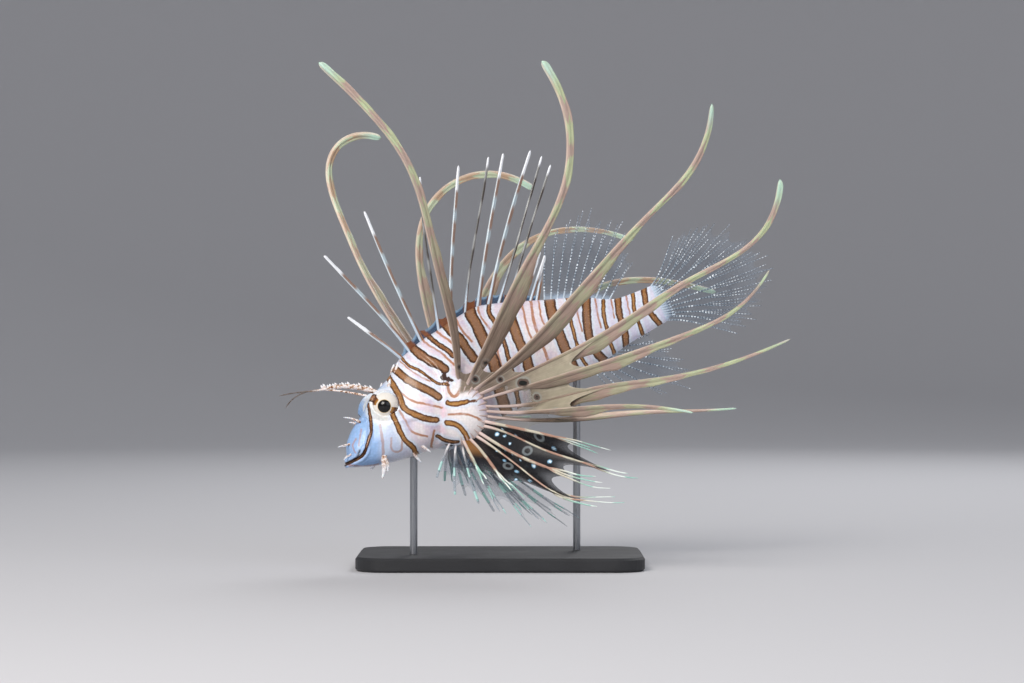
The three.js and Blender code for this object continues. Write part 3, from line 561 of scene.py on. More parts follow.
def makeLobeRayMaterial():
    look = lobeRayLook
    material, add, walked, code, left, wide = startMaterial(
        "branchedRaySkin", "walked", "code", "left", "wide")
    stray = noiseOver(add, (walked, 0.16), (code, 11.0), wide, Detail=2.0)
    wave = add("MapRange", waves(add, walked, look["period"], (stray, 8.0)), *look["bandEdge"])
    paint = wash(add, look["foot"], walked, add("Mix", wave, *look["banded"]), *look["bandedFrom"])
    paint = wash(add, paint, left, add("Mix", wave, *look["tips"]), *look["tipsFrom"])
    paint = wash(add, paint, wide, *look["shade"])
    return finishMaterial(material, add, paint, (stray, *look["rough"]), [(stray, 0.3, 0.1)], coat=(0.2, 0.15))


# Clear membrane of the rear fins: glassy skin with a smoky cast, so that it reads against a pale room
clearLook = dict(
    film="#526275", filmEdge="#8494a6", edgeReach=(14.0, 0.0), foot="#c4d6ea", footReach=(6.5, 2.5, 0.0, 0.8),
    veil=(0.19, 0.11), patchy=(0.75, 1.15), footVeil=(55.0, 56.0, 0.95, 0.1),  # little veil on a code past 55
    rough=0.25,
)


def makeClearWebMaterial():
    look = clearLook
    material, add, walked, code, toEdge = startMaterial("clearFinSkin", "walked", "code", "toEdge")
    mottle = add("TexNoise", add("TexCoord"), Scale=260.0, Detail=3.0)
    edge = add("MapRange", toEdge, *look["edgeReach"])
    foot = add("MapRange", walked, *look["footReach"])
    paint = add("Mix", foot, add("Mix", edge, look["film"], look["filmEdge"]), look["foot"])
    veil = add("MapRange", edge, 0.0, 1.0, *look["veil"], **straight)
    veil = add("Math", veil, add("MapRange", mottle, *noiseSpan, *look["patchy"], **straight))
    footVeil = add("Math", foot, add("MapRange", code, *look["footVeil"], **straight))
    alpha = add("Math", veil, footVeil, operation="MAXIMUM")
    return finishMaterial(material, add, paint, look["rough"], [(mottle, 0.25, 0.1)], coat=(0.3, 0.1), Alpha=alpha)


# Jointed soft rays: each joint a pale dash, with dark gaps between that lengthen towards the tip
jointLook = dict(
    gap="#6f8296", gapVeil=0.5, foot="#d3e2f0", stray=5.0,
    dashEdge=(-0.5, 0.1), groups=(0.47, 0.6), faint=0.28,  # faint: what is left of a dash between the groups
)


def makeClearRayMaterial(name, **own):
    look = {**jointLook, **own}
    material, add, walked, code = startMaterial(name, "walked", "code")
    stray = noiseOver(add, (walked, 0.22), (code, 9.0), Detail=2.0)
    joints = waves(add, walked, look["length"], (stray, look["stray"]))
    pale = add("MapRange", joints, *look["dashEdge"])
    pale = add("Math", pale, add("MapRange", stray, *look["groups"], look["faint"], 1.0))
    foot = add("MapRange", walked, look["footReach"], look["footReach"] * 0.5, 0.0, 0.9)
    paint = add("Mix", foot, add("Mix", pale, look["gap"], look["dash"]), look["foot"])
    clear = add("MapRange", pale, 0.1, 0.7, look["gapVeil"], 1.0, **straight)
    alpha = add("Math", clear, foot, operation="MAXIMUM")
    return finishMaterial(
        material, add, paint, (stray, 0.28, 0.42), [(joints, 0.3, 0.1)], coat=(0.3, 0.1), IOR=1.45, Alpha=alpha)


# Dorsal spines: hard, glossy, banded pink-brown and blue-white, with white tips and a painted highlight down the
# front edge
spineLook = dict(
    bright=("#b3c3cb", "#957a6c"), dull=("#8b8a88", "#4c443f"), bandEdge=(-1.0, 0.3), period=15.0,
    # a painted highlight, pale blue-white along each spine's leading edge
    front="#dff0fa", frontHighlightReach=(-0.1, -0.42, 0.0, 0.8), frontHighlightOnThin=0.2,
    tip=("#f6faff", -1.0, 2.0), tipLength=(11.5, 5.0),  # of a stout and of a thin spine, mm
    foot="#c3d5e6", footRear=("#95694c", 0.0, 0.3), footReach=(20.0, 8.0, 0.85), rough=(0.24, 0.4),
)


def makeSpineMaterial():
    look = spineLook
    material, add, walked, code, left, wide, thin = startMaterial(
        "bandedSpineHorn", "walked", "code", "left", "wide", "thin")
    stray = noiseOver(add, (left, 0.1), (code, 5.0), Detail=2.0)
    band = add("MapRange", waves(add, left, look["period"], (stray, 3.0)), *look["bandEdge"])
    paint = add("Mix", thin, add("Mix", band, *look["bright"]), add("Mix", band, *look["dull"]))
    # painted highlight along the front edge, weaker on the slim spines
    front = lessBy(add, add("MapRange", wide, *look["frontHighlightReach"]), thin, look["frontHighlightOnThin"])
    paint = add("Mix", front, paint, look["front"])
    tip = add("MapRange", thin, 0.0, 1.0, *look["tipLength"], **straight)
    paint = wash(add, paint, add("Math", tip, left, operation="SUBTRACT"), *look["tip"])
    foot = wash(add, look["foot"], wide, *look["footRear"], **straight)
    paint = wash(add, paint, walked, foot, *look["footReach"])
    return finishMaterial(
        material, add, paint, (stray, *look["rough"]), [(stray, 0.2, 0.1)], coat=(0.4, 0.1), IOR=1.5)


# Low membrane between the dorsal spines: brown where a band runs up into it, deep blue film elsewhere
dorsalWebLook = dict(
    blue="#2b4766", edge=("#8fb0cc", 1.6, 0.4, 0.8), brown="#7a4520", shade=(0.8, 1.25), veil=(0.72, 1.0),
)


def makeDorsalWebMaterial():
    look = dorsalWebLook
    material, add, toEdge, brown = startMaterial("dorsalFinSkin", "toEdge", "brown")
    mottle = add("TexNoise", add("TexCoord"), Scale=500.0, Detail=3.0)
    paint = add("Mix", brown, wash(add, look["blue"], toEdge, *look["edge"]), look["brown"])
    paint = mottled(add, paint, mottle, *look["shade"])
    alpha = add("MapRange", brown, 0.0, 1.0, *look["veil"], **straight)
    return finishMaterial(material, add, paint, 0.35, [(mottle, 0.3, 0.1)], coat=(0.3, 0.1), Alpha=alpha)


# Soft flesh of the tentacles: golden-brown flecks on cream, whiter towards the tips
tentacleLook = dict(
    flecks=[(0.34, "#6b4026"), (0.43, "#c49a78"), (0.52, "#f3e9e6")],
    tip=("#f4f8ff", 0.25, 0.8, 0.85), farTip=("#4b4038", 0.55, 0.75, 0.85), rough=(0.35, 0.5),
)


def makeTentacleMaterial(name, dark):
    look = tentacleLook
    material, add, share, tip = startMaterial(name, "share", "tip")
    flecks = add("TexNoise", add("TexCoord"), Scale=900.0, Detail=2.0, Roughness=0.7)
    paint = wash(add, add("ValToRGB", flecks, stops=look["flecks"]), tip, *look["tip"])
    if dark:
        paint = wash(add, paint, share, *look["farTip"])
    return finishMaterial(
        material, add, paint, (flecks, *look["rough"]), [(flecks, 0.3, 0.1)],
        coat=(0.3, 0.15), soft=(0.15, (1.0, 0.6, 0.5), 0.0008))


# Blown glass eye: black pupil, a gold thread round it, a cream iris with two brown wedges, all under clear gloss
# Its reaches are degrees from the middle of the eye
eyeLook = dict(
    iris=("#e4dcd4", "#fbf8f0"), outer=("#dfe8f2", 72.0, 88.0, 0.8),
    wedgeGold="#b98035", wedge=("#5a2e10", 36.0, 50.0), wedgeEdge=(0.66, 0.8), wedgeFrom=(40.0, 43.0),
    thread=("#e0b958", 29.0, 27.5, 0.7), pupil=("#020203", 27.0, 25.5), wobble=16.0, rough=(0.18, 0.28),
)


def makeEyeMaterial():
    look = eyeLook
    material, add, off, across, up = startMaterial("blownGlassEye", "off", "across", "up")
    grain = add("TexNoise", add("TexCoord"), Scale=900.0, Detail=3.0)
    turn = add("Math", up, across, operation="ARCTAN2")
    fibres = add("TexNoise", add("CombineXYZ", turn), Scale=14.0, Detail=2.0)
    wobble = add("Math", grain, look["wobble"], off, operation="MULTIPLY_ADD")
    # the wedges lie up and forward, and down and back
    sway = add("Math", turn, 2.0, eyes["wedgeTurn"], operation="MULTIPLY_ADD")
    wedge = add("MapRange", add("Math", sway, operation="COSINE"), *look["wedgeEdge"])
    wedge = add("Math", wedge, add("MapRange", wobble, *look["wedgeFrom"]))
    wedgePaint = wash(add, look["wedgeGold"], off, *look["wedge"], **straight)
    paint = add("Mix", wedge, add("Mix", fibres, *look["iris"]), wedgePaint)
    paint = wash(add, paint, wobble, *look["outer"])
    paint = wash(add, paint, off, *look["thread"])
    paint = wash(add, paint, off, *look["pupil"])
    return finishMaterial(material, add, paint, (grain, *look["rough"]), [(fibres, 0.1, 0.1)], coat=(0.4, 0.03))


# Powder coat: baked on as a fine orange-peel film, so highlights are soft and slightly pebbled
coatLook = dict(colour="#26272a", worn=("#3c3d41", 0.5, 0.75, 0.35), peel=0.6, rough=(0.44, 0.58))


def makeCoatMaterial():
    look = coatLook
    material, add = startMaterial("satinPowderCoat")
    place = add("TexCoord")
    peel = add("TexNoise", place, Scale=1000 / look["peel"], Detail=2.0)
    cloud = add("TexNoise", place, Scale=60.0, Detail=3.0)
    paint = wash(add, look["colour"], cloud, *look["worn"], **straight)
    return finishMaterial(material, add, paint, (cloud, *look["rough"]), [(peel, 0.3, 0.08)], IOR=1.5)


# Steel rod drawn through a die and brushed along its length: fine upright scratches stretch the highlight
steelLook = dict(colour="#b9bcc1", dull="#8f9297", scratch=0.25, rough=(0.22, 0.42))


def makeSteelMaterial():
    look = steelLook
    material, add = startMaterial("brushedSteelRod")
    stretch = add("Mapping", add("TexCoord"), Scale=(1000 / look["scratch"], 1000 / look["scratch"], 60.0))
    scratches = add("TexNoise", stretch, Scale=1.0, Detail=2.0)
    paint = add("Mix", scratches, look["dull"], look["colour"])
    return finishMaterial(
        material, add, paint, (scratches, *look["rough"]), [(scratches, 0.15, 0.05)], IOR=1.5, Metallic=1.0)


# The body: along the axis, height of the back, height of the belly, half width
body = dict(
    stations=np.array([
        [-4.3, -6.0, -7.3, 1.2], [-3.0, -5.2, -8.3, 3.1], [-1.3, -3.4, -9.1, 4.6], [-0.2, 0.4, -9.6, 5.5],
        [2.6, 3.9, -10.6, 7.0], [6.0, 6.7, -12.0, 8.6], [12.0, 10.4, -13.6, 10.8], [18.0, 15.4, -14.8, 12.4],
        [23.0, 17.4, -15.4, 13.4], [28.4, 19.8, -15.9, 14.4], [34.4, 24.2, -16.3, 15.0], [40.4, 26.3, -16.3, 15.2],
        [47.7, 28.3, -16.3, 14.8], [57.2, 29.6, -16.1, 14.2], [65.4, 31.0, -16.0, 13.4], [74.8, 31.7, -15.8, 12.5],
        [85.6, 28.7, -15.5, 11.4], [95.0, 25.2, -14.6, 10.0], [103.6, 21.9, -13.4, 8.8], [112.7, 18.6, -12.6, 7.6],
        [120.0, 15.4, -11.6, 6.5], [129.9, 10.2, -9.9, 5.2], [141.9, 8.8, -8.6, 4.0], [147.0, 8.6, -8.0, 3.2],
        [149.0, 7.6, -7.1, 2.2], [150.2, 5.8, -5.4, 1.2],
    ]),
    widestAt=0.44, sectionPower=0.86, headTaper=0.3, trunkTaper=0.16, gill=40.2, end=150.2,
    rows=[(-4.3, 78), (12.0, 112), (46.0, 36), (62.0, 94), (110.0, 66)],  # grid rows from each place on
    columns=236, headEnd=62,  # the head and fin bases are worked into the rows before this
)


# One column of the stations, at any place along the body
def station(along, column):
    rows = body["stations"]
    last = len(rows) - 1
    low = np.clip(np.searchsorted(rows[:, 0], along, side="right") - 1, 0, last - 1)
    before, after = rows[np.maximum(low - 1, 0)], rows[np.minimum(low + 2, last)]
    start, end = rows[low], rows[low + 1]
    span = end[..., 0] - start[..., 0]
    t = np.clip((along - start[..., 0]) / span, 0, 1)
    slopeLow = (end[..., column] - before[..., column]) / (end[..., 0] - before[..., 0])
    slopeHigh = (after[..., column] - start[..., column]) / (after[..., 0] - start[..., 0])
    bent = t * t * (3 - 2 * t)
    sway = span * t * (1 - t) * ((1 - t) * slopeLow - t * slopeHigh)
    return lerp(start[..., column], end[..., column], bent) + sway


def taper(along):
    return lerp(body["headTaper"], body["trunkTaper"], np.clip((along - body["gill"]) / 20, 0, 1))


# Half width of the body at a place along it and a height
def flank(along, high):
    top, bottom, width = (station(along, column) for column in (1, 2, 3))
    middle = lerp(bottom, top, body["widestAt"])
    share = np.clip((high - middle) / np.where(high > middle, top - middle, middle - bottom), -1, 1)
    rise = np.abs(share) ** (1 / body["sectionPower"])
    return width * np.sqrt(1 - rise**2) ** body["sectionPower"] * (1 - taper(along) * np.maximum(share, 0))


def onSkin(along, high, side, out=0.0):
    return inFish(along, high, side * (flank(along, high) + out))


# The fleshy base of each pectoral fin
pectoralBase = dict(along=45.6, high=-6.6, reach=13.0, height=13.5, depth=8.0, sunk=4.6, tilt=20.0)
baseLeft = flank(pectoralBase["along"], pectoralBase["high"]) - pectoralBase["sunk"]
baseTilt = math.radians(pectoralBase["tilt"])


def inBase(side, back, high, out):
    return inFish(
        pectoralBase["along"] + back * math.cos(baseTilt) - out * math.sin(baseTilt),
        pectoralBase["high"] + high,
        side * (baseLeft + back * math.sin(baseTilt) + out * math.cos(baseTilt)),
    )


# Forms of the head, as places along, high and to the left, alike on both sides
head = dict(
    eye=(19.3, 9.2, 6.7), eyeRadius=6.0,
    rimAim=(-0.1, 0.34, 0.93), rimOut=2.1, rimRadius=5.95, rimTube=0.95,
    brow=[(13.6, 10.4, 7.4), (17.4, 13.9, 6.9), (22.6, 15.0, 6.8), (26.0, 14.0, 8.0)], browRadii=[0.8, 1.5, 1.5, 0.7],
    mouth=[(-4.4, -6.4), (-2.6, -6.3), (0.8, -6.2), (2.6, -5.2), (4.0, -3.6)], mouthDepth=0.42,
    upperLip=[(-3.2, -5.2), (-1.8, -5.2), (1.0, -5.0), (2.2, -4.1), (3.2, -2.8)],
    lowerLip=[(-4.2, -7.4), (-2.4, -7.6), (0.8, -7.5), (3.3, -6.3), (4.9, -4.6)],
    lipRadii=[0.8, 0.8, 0.75, 0.5],
    jawBone=[(4.2, -3.4), (6.6, -0.8), (8.6, 2.4), (10.6, 6.4)], jawRadii=[0.9, 0.9, 0.75, 0.4],
    cheekBone=[(17.5, 1.2), (22.5, 0.4), (27.5, -0.6), (32.0, -2.8)], cheekRadii=[0.5, 0.9, 0.9, 0.4],
    nostril=(9.4, 7.4), nostrilRadius=0.75, nostrilRing=(1.1, 0.35),
    # how softly each form melts into the flesh, mm
    soft=dict(
        finBase=1.6, eyeRim=1.1, brow=1.3, eye=0.25, jawBone=1.0, cheekBone=1.2, lips=0.5, mouth=0.2, nostril=0.4),
    gillEdge=[(45.5, 22.0), (48.6, 15.0), (48.4, 7.6), (45.6, 0.5), (42.4, -6.0), (38.5, -12.5), (33.0, -15.8)],
)


def eyeCentre(side):
    along, high, left = head["eye"]
    return inFish(along, high, side * left)


def eyeAim(side):
    along, high, left = (a + b for a, b in zip(head["eye"], head["rimAim"]))
    return unit(inFish(along, high, side * left) - eyeCentre(side))


# A finer chain of points through the given ones
def smoothLine(points, steps=8):
    points = np.asarray(points, float)
    t = np.linspace(0, 1, (len(points) - 1) * steps + 1)
    return np.stack([blend(points[:, column], t) for column in range(points.shape[1])], -1)


# How far points are from a tapered bar through a line
def barField(points, line, radii):
    best = np.full(points.shape[:-1], 1e3)
    radii = blend(radii, np.linspace(0, 1, len(line)))
    for a, b, ra, rb in zip(line[:-1], line[1:], radii[:-1], radii[1:]):
        along = b - a
        t = np.clip((points - a) @ along / (along @ along), 0, 1)
        best = np.minimum(best, np.linalg.norm(points - a - t[..., None] * along, axis=-1) - lerp(ra, rb, t))
    return best


# Smooth ways of joining fields: melt keeps both forms, carve keeps what lies in both
def melt(a, b, soft):
    share = np.clip(0.5 + 0.5 * (b - a) / soft, 0, 1)
    return lerp(b, a, share) - soft * share * (1 - share)


def carve(a, b, soft):
    return -melt(-a, -b, soft)


def jawLine(points, side):
    (frontAlong, frontHigh), *back = points
    flat = smoothLine(back, 5)
    return np.concatenate([[inFish(frontAlong, frontHigh, 0.0)], onSkin(flat[:, 0], flat[:, 1], side)])


# What one side's head and fin base add to the body, or take from it, at points in rows along the fish
def fleshField(field, points, alongs, side):
    def near(low, high):
        return (alongs > low) & (alongs < high)

    def put(rows, value, key):
        field[rows] = melt(field[rows], value, head["soft"][key])

    rows = near(28, 62)
    local = points[rows]
    axis = inFish(alongs[rows], pectoralBase["high"], 0.0)[:, None, None]
    out = unit(leftward(alongs[rows]))[:, None, None] * side
    left = ((local - axis) * out).sum(-1) - baseLeft
    high = ((local - axis) * upward).sum(-1)
    back = np.broadcast_to((alongs[rows] - pectoralBase["along"])[:, None, None], left.shape)
    u = (back * math.cos(baseTilt) + left * math.sin(baseTilt)) / pectoralBase["reach"]
    w = (-back * math.sin(baseTilt) + left * math.cos(baseTilt)) / pectoralBase["depth"]
    v = high / pectoralBase["height"]
    put(rows, (np.sqrt(u**2 + v**2 + w**2) - 1) * 9.0, "finBase")

    centre, aim = eyeCentre(side), eyeAim(side)
    rows = near(8, 32)
    offset = points[rows] - centre
    depth = offset @ aim
    radial = np.linalg.norm(offset - depth[..., None] * aim, axis=-1)
    rim = np.hypot(radial - head["rimRadius"], depth - head["rimOut"]) - head["rimTube"]
    put(rows, rim, "eyeRim")
    line = smoothLine(head["brow"], 5)
    brow = inFish(line[:, 0], line[:, 1], side * line[:, 2])
    put(rows, barField(points[rows], brow, head["browRadii"]), "brow")
    socket = head["eyeRadius"] + 0.2 - np.linalg.norm(offset, axis=-1)
    field[rows] = carve(field[rows], socket, head["soft"]["eye"])
    for key, radii in (("jawBone", "jawRadii"), ("cheekBone", "cheekRadii")):
        line = smoothLine(head[key], 4)
        rows = near(line[:, 0].min() - 3, line[:, 0].max() + 3)
        put(rows, barField(points[rows], onSkin(line[:, 0], line[:, 1], side), head[radii]), key)
    rows = near(-9, 9)
    for key in ("upperLip", "lowerLip"):
        put(rows, barField(points[rows], jawLine(head[key], side), head["lipRadii"]), "lips")
    mouth = barField(points[rows], jawLine(head["mouth"], side), [head["mouthDepth"]] * 2)
    field[rows] = carve(field[rows], -mouth, head["soft"]["mouth"])
    pit = onSkin(*head["nostril"], side)
    rows = near(6, 13)
    ring = np.linalg.norm(points[rows] - pit, axis=-1)
    middle, half = head["nostrilRing"]
    put(rows, np.abs(ring - middle) - half, "nostril")
    field[rows] = carve(field[rows], head["nostrilRadius"] - ring, head["soft"]["mouth"])
    return field


# The skin's grid: for each row, a fan of directions from the middle of the section, and how far the flesh reaches
def skinGrid():
    ends = [start for start, _ in body["rows"][1:]] + [body["end"]]
    alongs = [np.linspace(a, b, n, endpoint=False) for (a, n), b in zip(body["rows"], ends)]
    alongs = np.concatenate([*alongs, [body["end"]]])
    angle = 2 * math.pi * np.arange(body["columns"]) / body["columns"]
    cos, sin = np.cos(angle), np.sin(angle)
    top, bottom, width = (station(alongs, column)[:, None] for column in (1, 2, 3))
    middle = lerp(bottom, top, body["widestAt"])
    power = body["sectionPower"]
    share = np.sign(sin) * np.abs(sin) ** power
    high = share * np.where(sin > 0, top - middle, middle - bottom)
    left = np.sign(cos) * np.abs(cos) ** power * width * (1 - taper(alongs)[:, None] * np.maximum(share, 0))
    centre = inFish(alongs, middle[:, 0], 0.0)[:, None]
    surface = inFish(alongs[:, None], middle + high, left)
    toward = unit(surface - centre)
    reach = np.linalg.norm(surface - centre, axis=-1)
    normal = unit(np.cross(np.gradient(surface, axis=0), np.roll(surface, -1, 1) - np.roll(surface, 1, 1)))
    facing = np.abs((normal * toward).sum(-1))
    offsets = np.arange(-5.0, 7.01, 0.2)
    headRows = alongs < body["headEnd"]
    for side in (1, -1):
        columns = np.where(cos * side > 1e-9)[0] if side > 0 else np.where(cos * side > -1e-9)[0]
        pick = np.ix_(headRows, columns)
        radius = np.maximum(reach[pick][..., None] + offsets, 0.05)
        points = centre[headRows][:, :, None] + toward[pick][:, :, None] * radius[..., None]
        field = (radius - reach[pick][..., None]) * facing[pick][..., None]
        field = fleshField(field, points, alongs[headRows], side)
        inside = field < 0
        outermost = len(offsets) - 1 - np.argmax(inside[..., ::-1], axis=-1)
        found = inside.any(-1) & (outermost < len(offsets) - 1)
        step = np.clip(outermost, 0, len(offsets) - 2)[..., None]
        f0, f1 = (np.take_along_axis(field, step + k, -1)[..., 0] for k in (0, 1))
        r0, r1 = (np.take_along_axis(radius, step + k, -1)[..., 0] for k in (0, 1))
        solved = r0 + (r1 - r0) * np.clip(-f0 / np.where(np.abs(f1 - f0) < 1e-9, 1, f1 - f0), 0, 1)
        reach[pick] = np.where(found, solved, radius[..., 0])
    return alongs, centre + toward * reach[..., None]


# Markings, as the near side shows them: face is the place along the axis that a point looks to be at, high over it.
# Each band has a width, a share of gold in its middle, and its line.
bands = [
    (4.0, 0.1, [(39.5, 38), (41.5, 30.5), (44, 24.5), (47, 19.5), (50, 16), (51.8, 12.8)]),
    (2.3, 0.1, [(49.5, 36), (49.5, 32), (51.5, 28), (53.5, 24), (56, 20), (57.5, 16.5)]),
    (4.2, 0.2, [(58.5, 39), (59.5, 32.5), (61, 26.5), (63, 22), (64, 16.5), (65, 12)]),
    (5.2, 0.15, [
        (75.5, 39.5), (73, 34.5), (71.5, 30), (72, 25.5), (72, 20), (72, 13), (72, 6), (70.5, -0.5), (69, -7),
        (68, -17)]),
    (2.1, 0.2, [
        (83.5, 36), (80.5, 30.5), (79, 27), (79.5, 22.5), (79.5, 16), (79.5, 12), (78.5, 6), (77.5, -0.5), (76, -7),
        (73.5, -17)]),
    (4.7, 0.3, [
        (91.5, 34.5), (89.5, 28.5), (87, 22.5), (86, 16), (85.5, 9.5), (85.5, 3.5), (84.5, -3), (84, -9), (82, -17)]),
    (4.9, 0.15, [(107, 27.5), (105, 22), (103, 14), (102.5, 7), (102, -2.5), (102, -8.5), (101.5, -15)]),
    (1.7, 0.8, [(112, 22), (112, 18), (110.5, 13), (109, 7.5), (107.5, -0.5), (107, -7.5), (108, -13)]),
    (3.9, 0.2, [(122, 22), (120.5, 17.5), (117, 10), (114, 1.5), (113.5, -3.5), (114, -9), (116.5, -14)]),
    (1.8, 0.7, [(127.5, 16), (126.5, 13), (124.5, 9), (123, 5), (122, 0.5), (121, -4.5), (120.5, -12)]),
    (3.1, 0.3, [(134.5, 15), (133.5, 13), (131.5, 9), (129.5, 3.5), (128.5, -4), (126, -12)]),
    (1.8, 0.7, [(139.5, 13), (138.5, 9), (136, 2.5), (135.5, -2.5), (135, -10)]),
    (2.7, 0.4, [(145.5, 14), (144, 10), (141.5, 2), (142, -2.5), (144, -10)]),
    (2.8, 0.6, [
        (27, 24), (28, 20), (29, 14.5), (29.5, 10), (29, 6.5), (30, 3.5), (32.5, 0.5), (35.5, -2.5), (39.8, -5.3)]),
    (3.5, 0.35, [(29.5, 27), (31, 24), (33, 20), (35, 16), (38, 12), (41.5, 8), (44.1, 4.4), (44.7, 3.4)]),
    (1.3, 0.8, [(35.5, 28), (36.5, 25.5), (38.5, 20.5), (41.5, 17), (44, 13), (46.5, 9), (50.5, 6)]),
    (2.4, 0.6, [(23.5, 6), (23.5, -0.5), (23.5, -4), (24, -8), (25.5, -11.5), (25.5, -15.5)]),
    (1.5, 0.1, [(15.5, 12.5), (14, 6.5), (12, 1.5), (9.5, -1), (7, -4), (4, -6), (-0.5, -6.5), (-4, -6.5)]),
    (3.2, 0.1, [(16, 15.5), (20, 13.5)]),
    (2.2, 0.9, [(47.0, -0.5), (48.4, -1.7), (51.3, -2.7), (54.7, -3.5)]),
    (1.2, 0.9, [(54.7, -3.5), (58.5, -4.8)]),
    (2.4, 0.9, [(43.2, -8.0), (45.3, -9.4), (47.4, -12.0), (48.3, -15.7), (48.2, -20.2), (48.2, -24.7)]),
    (1.7, 0.2, [(37.1, -11.8), (39.0, -13.9), (41.7, -16.3), (44.1, -17.4)]),
]
thinLines = [
    (0.9, [(46, 33), (47.5, 29.5), (49.5, 25.5), (51.5, 22.5), (53.5, 19.5), (56, 13.5)]),
    (1.0, [(55, 34), (55, 30), (56.5, 26.5), (58.5, 23.5), (60, 19.5)]),
    (0.9, [(65, 34), (65, 28), (65.5, 24.5), (67, 19.5)]),
    (0.9, [(76.5, 34), (75, 28), (76, 22.5), (77, 17), (75.5, 10.5), (74.5, 5), (73.5, -4)]),
    (0.9, [(94, 27), (93, 23), (92, 18.5), (91, 13), (91, 7)]),
    (1.2, [(97.5, 27), (97, 23), (95.5, 18.5), (94.5, 13.5), (94, 5.5), (93.5, -2.5), (93, -10)]),
    (0.8, [(101, 26), (100, 21.5), (98.5, 16), (98.5, 10.5)]),
    (0.8, [(114.5, 19), (114, 14), (113, 10), (112, 4)]),
    (0.8, [(123.5, 16), (122, 10.5), (121, 7.5), (120, 2)]),
    (0.7, [(129.5, 13), (128.5, 9), (127, 3.5)]),
    (0.7, [(136.5, 12), (135, 7.5), (133.5, 1.5)]),
    (0.9, [(29.5, 14.5), (31, 10.5), (33.5, 6.5), (38, 3), (43.5, -1)]),
    (0.6, [(36, 23), (38, 19), (40.5, 15), (43.5, 11.5)]),
    (0.9, [(27, 4), (27.5, 0), (28, -5), (30, -7.5), (32.5, -9.5)]),
    (1.0, [(-4, -6.5), (1.5, -10), (8, -12)]),
    (1.2, [(16.5, 2), (15, -3.5), (13, -8.5), (11.5, -11.5)]),
    (0.9, [(18.5, -5), (17, -8.5), (18.5, -10.5), (20.5, -10.5), (22.5, -7.5)]),
    (0.7, [(2, -3), (2, -0.5), (4, 1)]),
    (0.7, [(5, -1), (8, 3.5)]),
    (0.9, [(46, -5.5), (51, -7.5), (54.5, -10), (57, -13.5)]),
    (1.0, [(36.5, -9.5), (33, -14.5)]),
    (1.3, [(50.1, 6.6), (49.7, 4.7), (49.7, 2.1), (50.7, 0.7), (52.5, 1.0), (54.3, 2.3)]),
]
darkSpots = [(49.9, 9.9, 1.4), (51.3, 8.5, 1.1), (52.6, 7.2, 0.8)]
whiteSpots = [(53.0, 5.6, 0.8), (51.6, 3.0, 0.5)]


# Distance from places to a line, and the signed offset across it
def lineDistance(x, y, line):
    best = np.full(x.shape, 1e3)
    across = np.zeros(x.shape)
    for (ax, ay), (bx, by) in zip(line[:-1], line[1:]):
        ux, uy = bx - ax, by - ay
        length = math.hypot(ux, uy)
        t = np.clip(((x - ax) * ux + (y - ay) * uy) / length**2, 0, 1)
        gap = np.hypot(x - ax - t * ux, y - ay - t * uy)
        closer = gap < best
        best = np.where(closer, gap, best)
        across = np.where(closer, ((y - ay) * ux - (x - ax) * uy) / length, across)
    return best, across


# Which places lie in the box round a line
def boxRound(x, y, line, margin):
    (lowX, lowY), (highX, highY) = line.min(0) - margin, line.max(0) + margin
    return (x > lowX) & (x < highX) & (y > lowY) & (y < highY)


farOff = 30.0  # mm, for places with no band, line or spot near them


# Values on the skin that the material turns into bands, lines and spots
def skinMarks(face, high):
    depth, gold, rim = np.full(face.shape, -farOff), np.zeros(face.shape), np.full(face.shape, 0.5)
    for width, goldShare, line in bands:
        fine = smoothLine(line, 5)
        near = boxRound(face, high, fine, 7)
        inside = width / 2 - lineDistance(face[near], high[near], fine)[0]
        deeper = inside > depth[near]
        depth[near] = np.where(deeper, inside, depth[near])
        gold[near] = np.where(deeper, goldShare, gold[near])
        rim[near] = np.where(deeper, np.clip(0.22 * width + 0.3, 0.6, 1.2), rim[near])
    for spotFace, spotHigh, radius in darkSpots:
        inside = radius - np.hypot(face - spotFace, high - spotHigh)
        gold = np.where(inside > depth, 0, gold)
        depth = np.maximum(depth, np.minimum(inside, 0.2))
    lineNear, lineSide, lineWidth = (np.full(face.shape, start) for start in (farOff, 5.0, 0.9))
    for width, line in thinLines:
        fine = smoothLine(line, 5)
        near = boxRound(face, high, fine, 4)
        gap, across = lineDistance(face[near], high[near], fine)
        closer = gap < lineNear[near]
        lineNear[near] = np.where(closer, gap, lineNear[near])
        lineSide[near] = np.where(closer, np.clip(across, -4, 4), lineSide[near])
        lineWidth[near] = np.where(closer, width, lineWidth[near])
    white = np.full(face.shape, -farOff)
    for spotFace, spotHigh, radius in whiteSpots:
        white = np.maximum(white, radius - np.hypot(face - spotFace, high - spotHigh))
    return dict(
        bandDepth=depth, bandGold=gold, rimReach=rim, whiteSpot=white,
        lineNear=lineNear, lineSide=lineSide, lineWidth=lineWidth)


# The gill cover's step and the tubes of the lateral line, mm
relief = dict(
    gillStep=0.5, gillReach=3.2, tube=0.16, tubeWidth=0.45, tubeSpacing=2.8, tubesFrom=51,
    lateral=[(50, 18.5), (62, 17), (80, 12.5), (100, 7.5), (125, 2), (149, 0.5)],
)


# Where each colour region of the skin begins and is full, mm along the face or high over it
regionEdges = dict(
    blueFace=(20, 34), snoutBlue=(12.5, 19), tailStock=(95, 135), belly=(-15.5, -8), back=(12, 26),
    eyeRound=(5.4, 9.0), farEye=(14, 19), gillLow=(-17, -9), gillHigh=(10, 16), tailRoot=(146.2, 147.2),
    tailSmoke=(147.2, 150.0), baseRear=(55.0, 62.0),
    finBase=(0.75, 1.1), finBaseTan=(1.0, 1.2), finBaseRear=(1.02, 1.2), tan=(0, 1.4),  # in radii of the base
)


def rises(key, value):
    return smoothstep(*regionEdges[key], value)


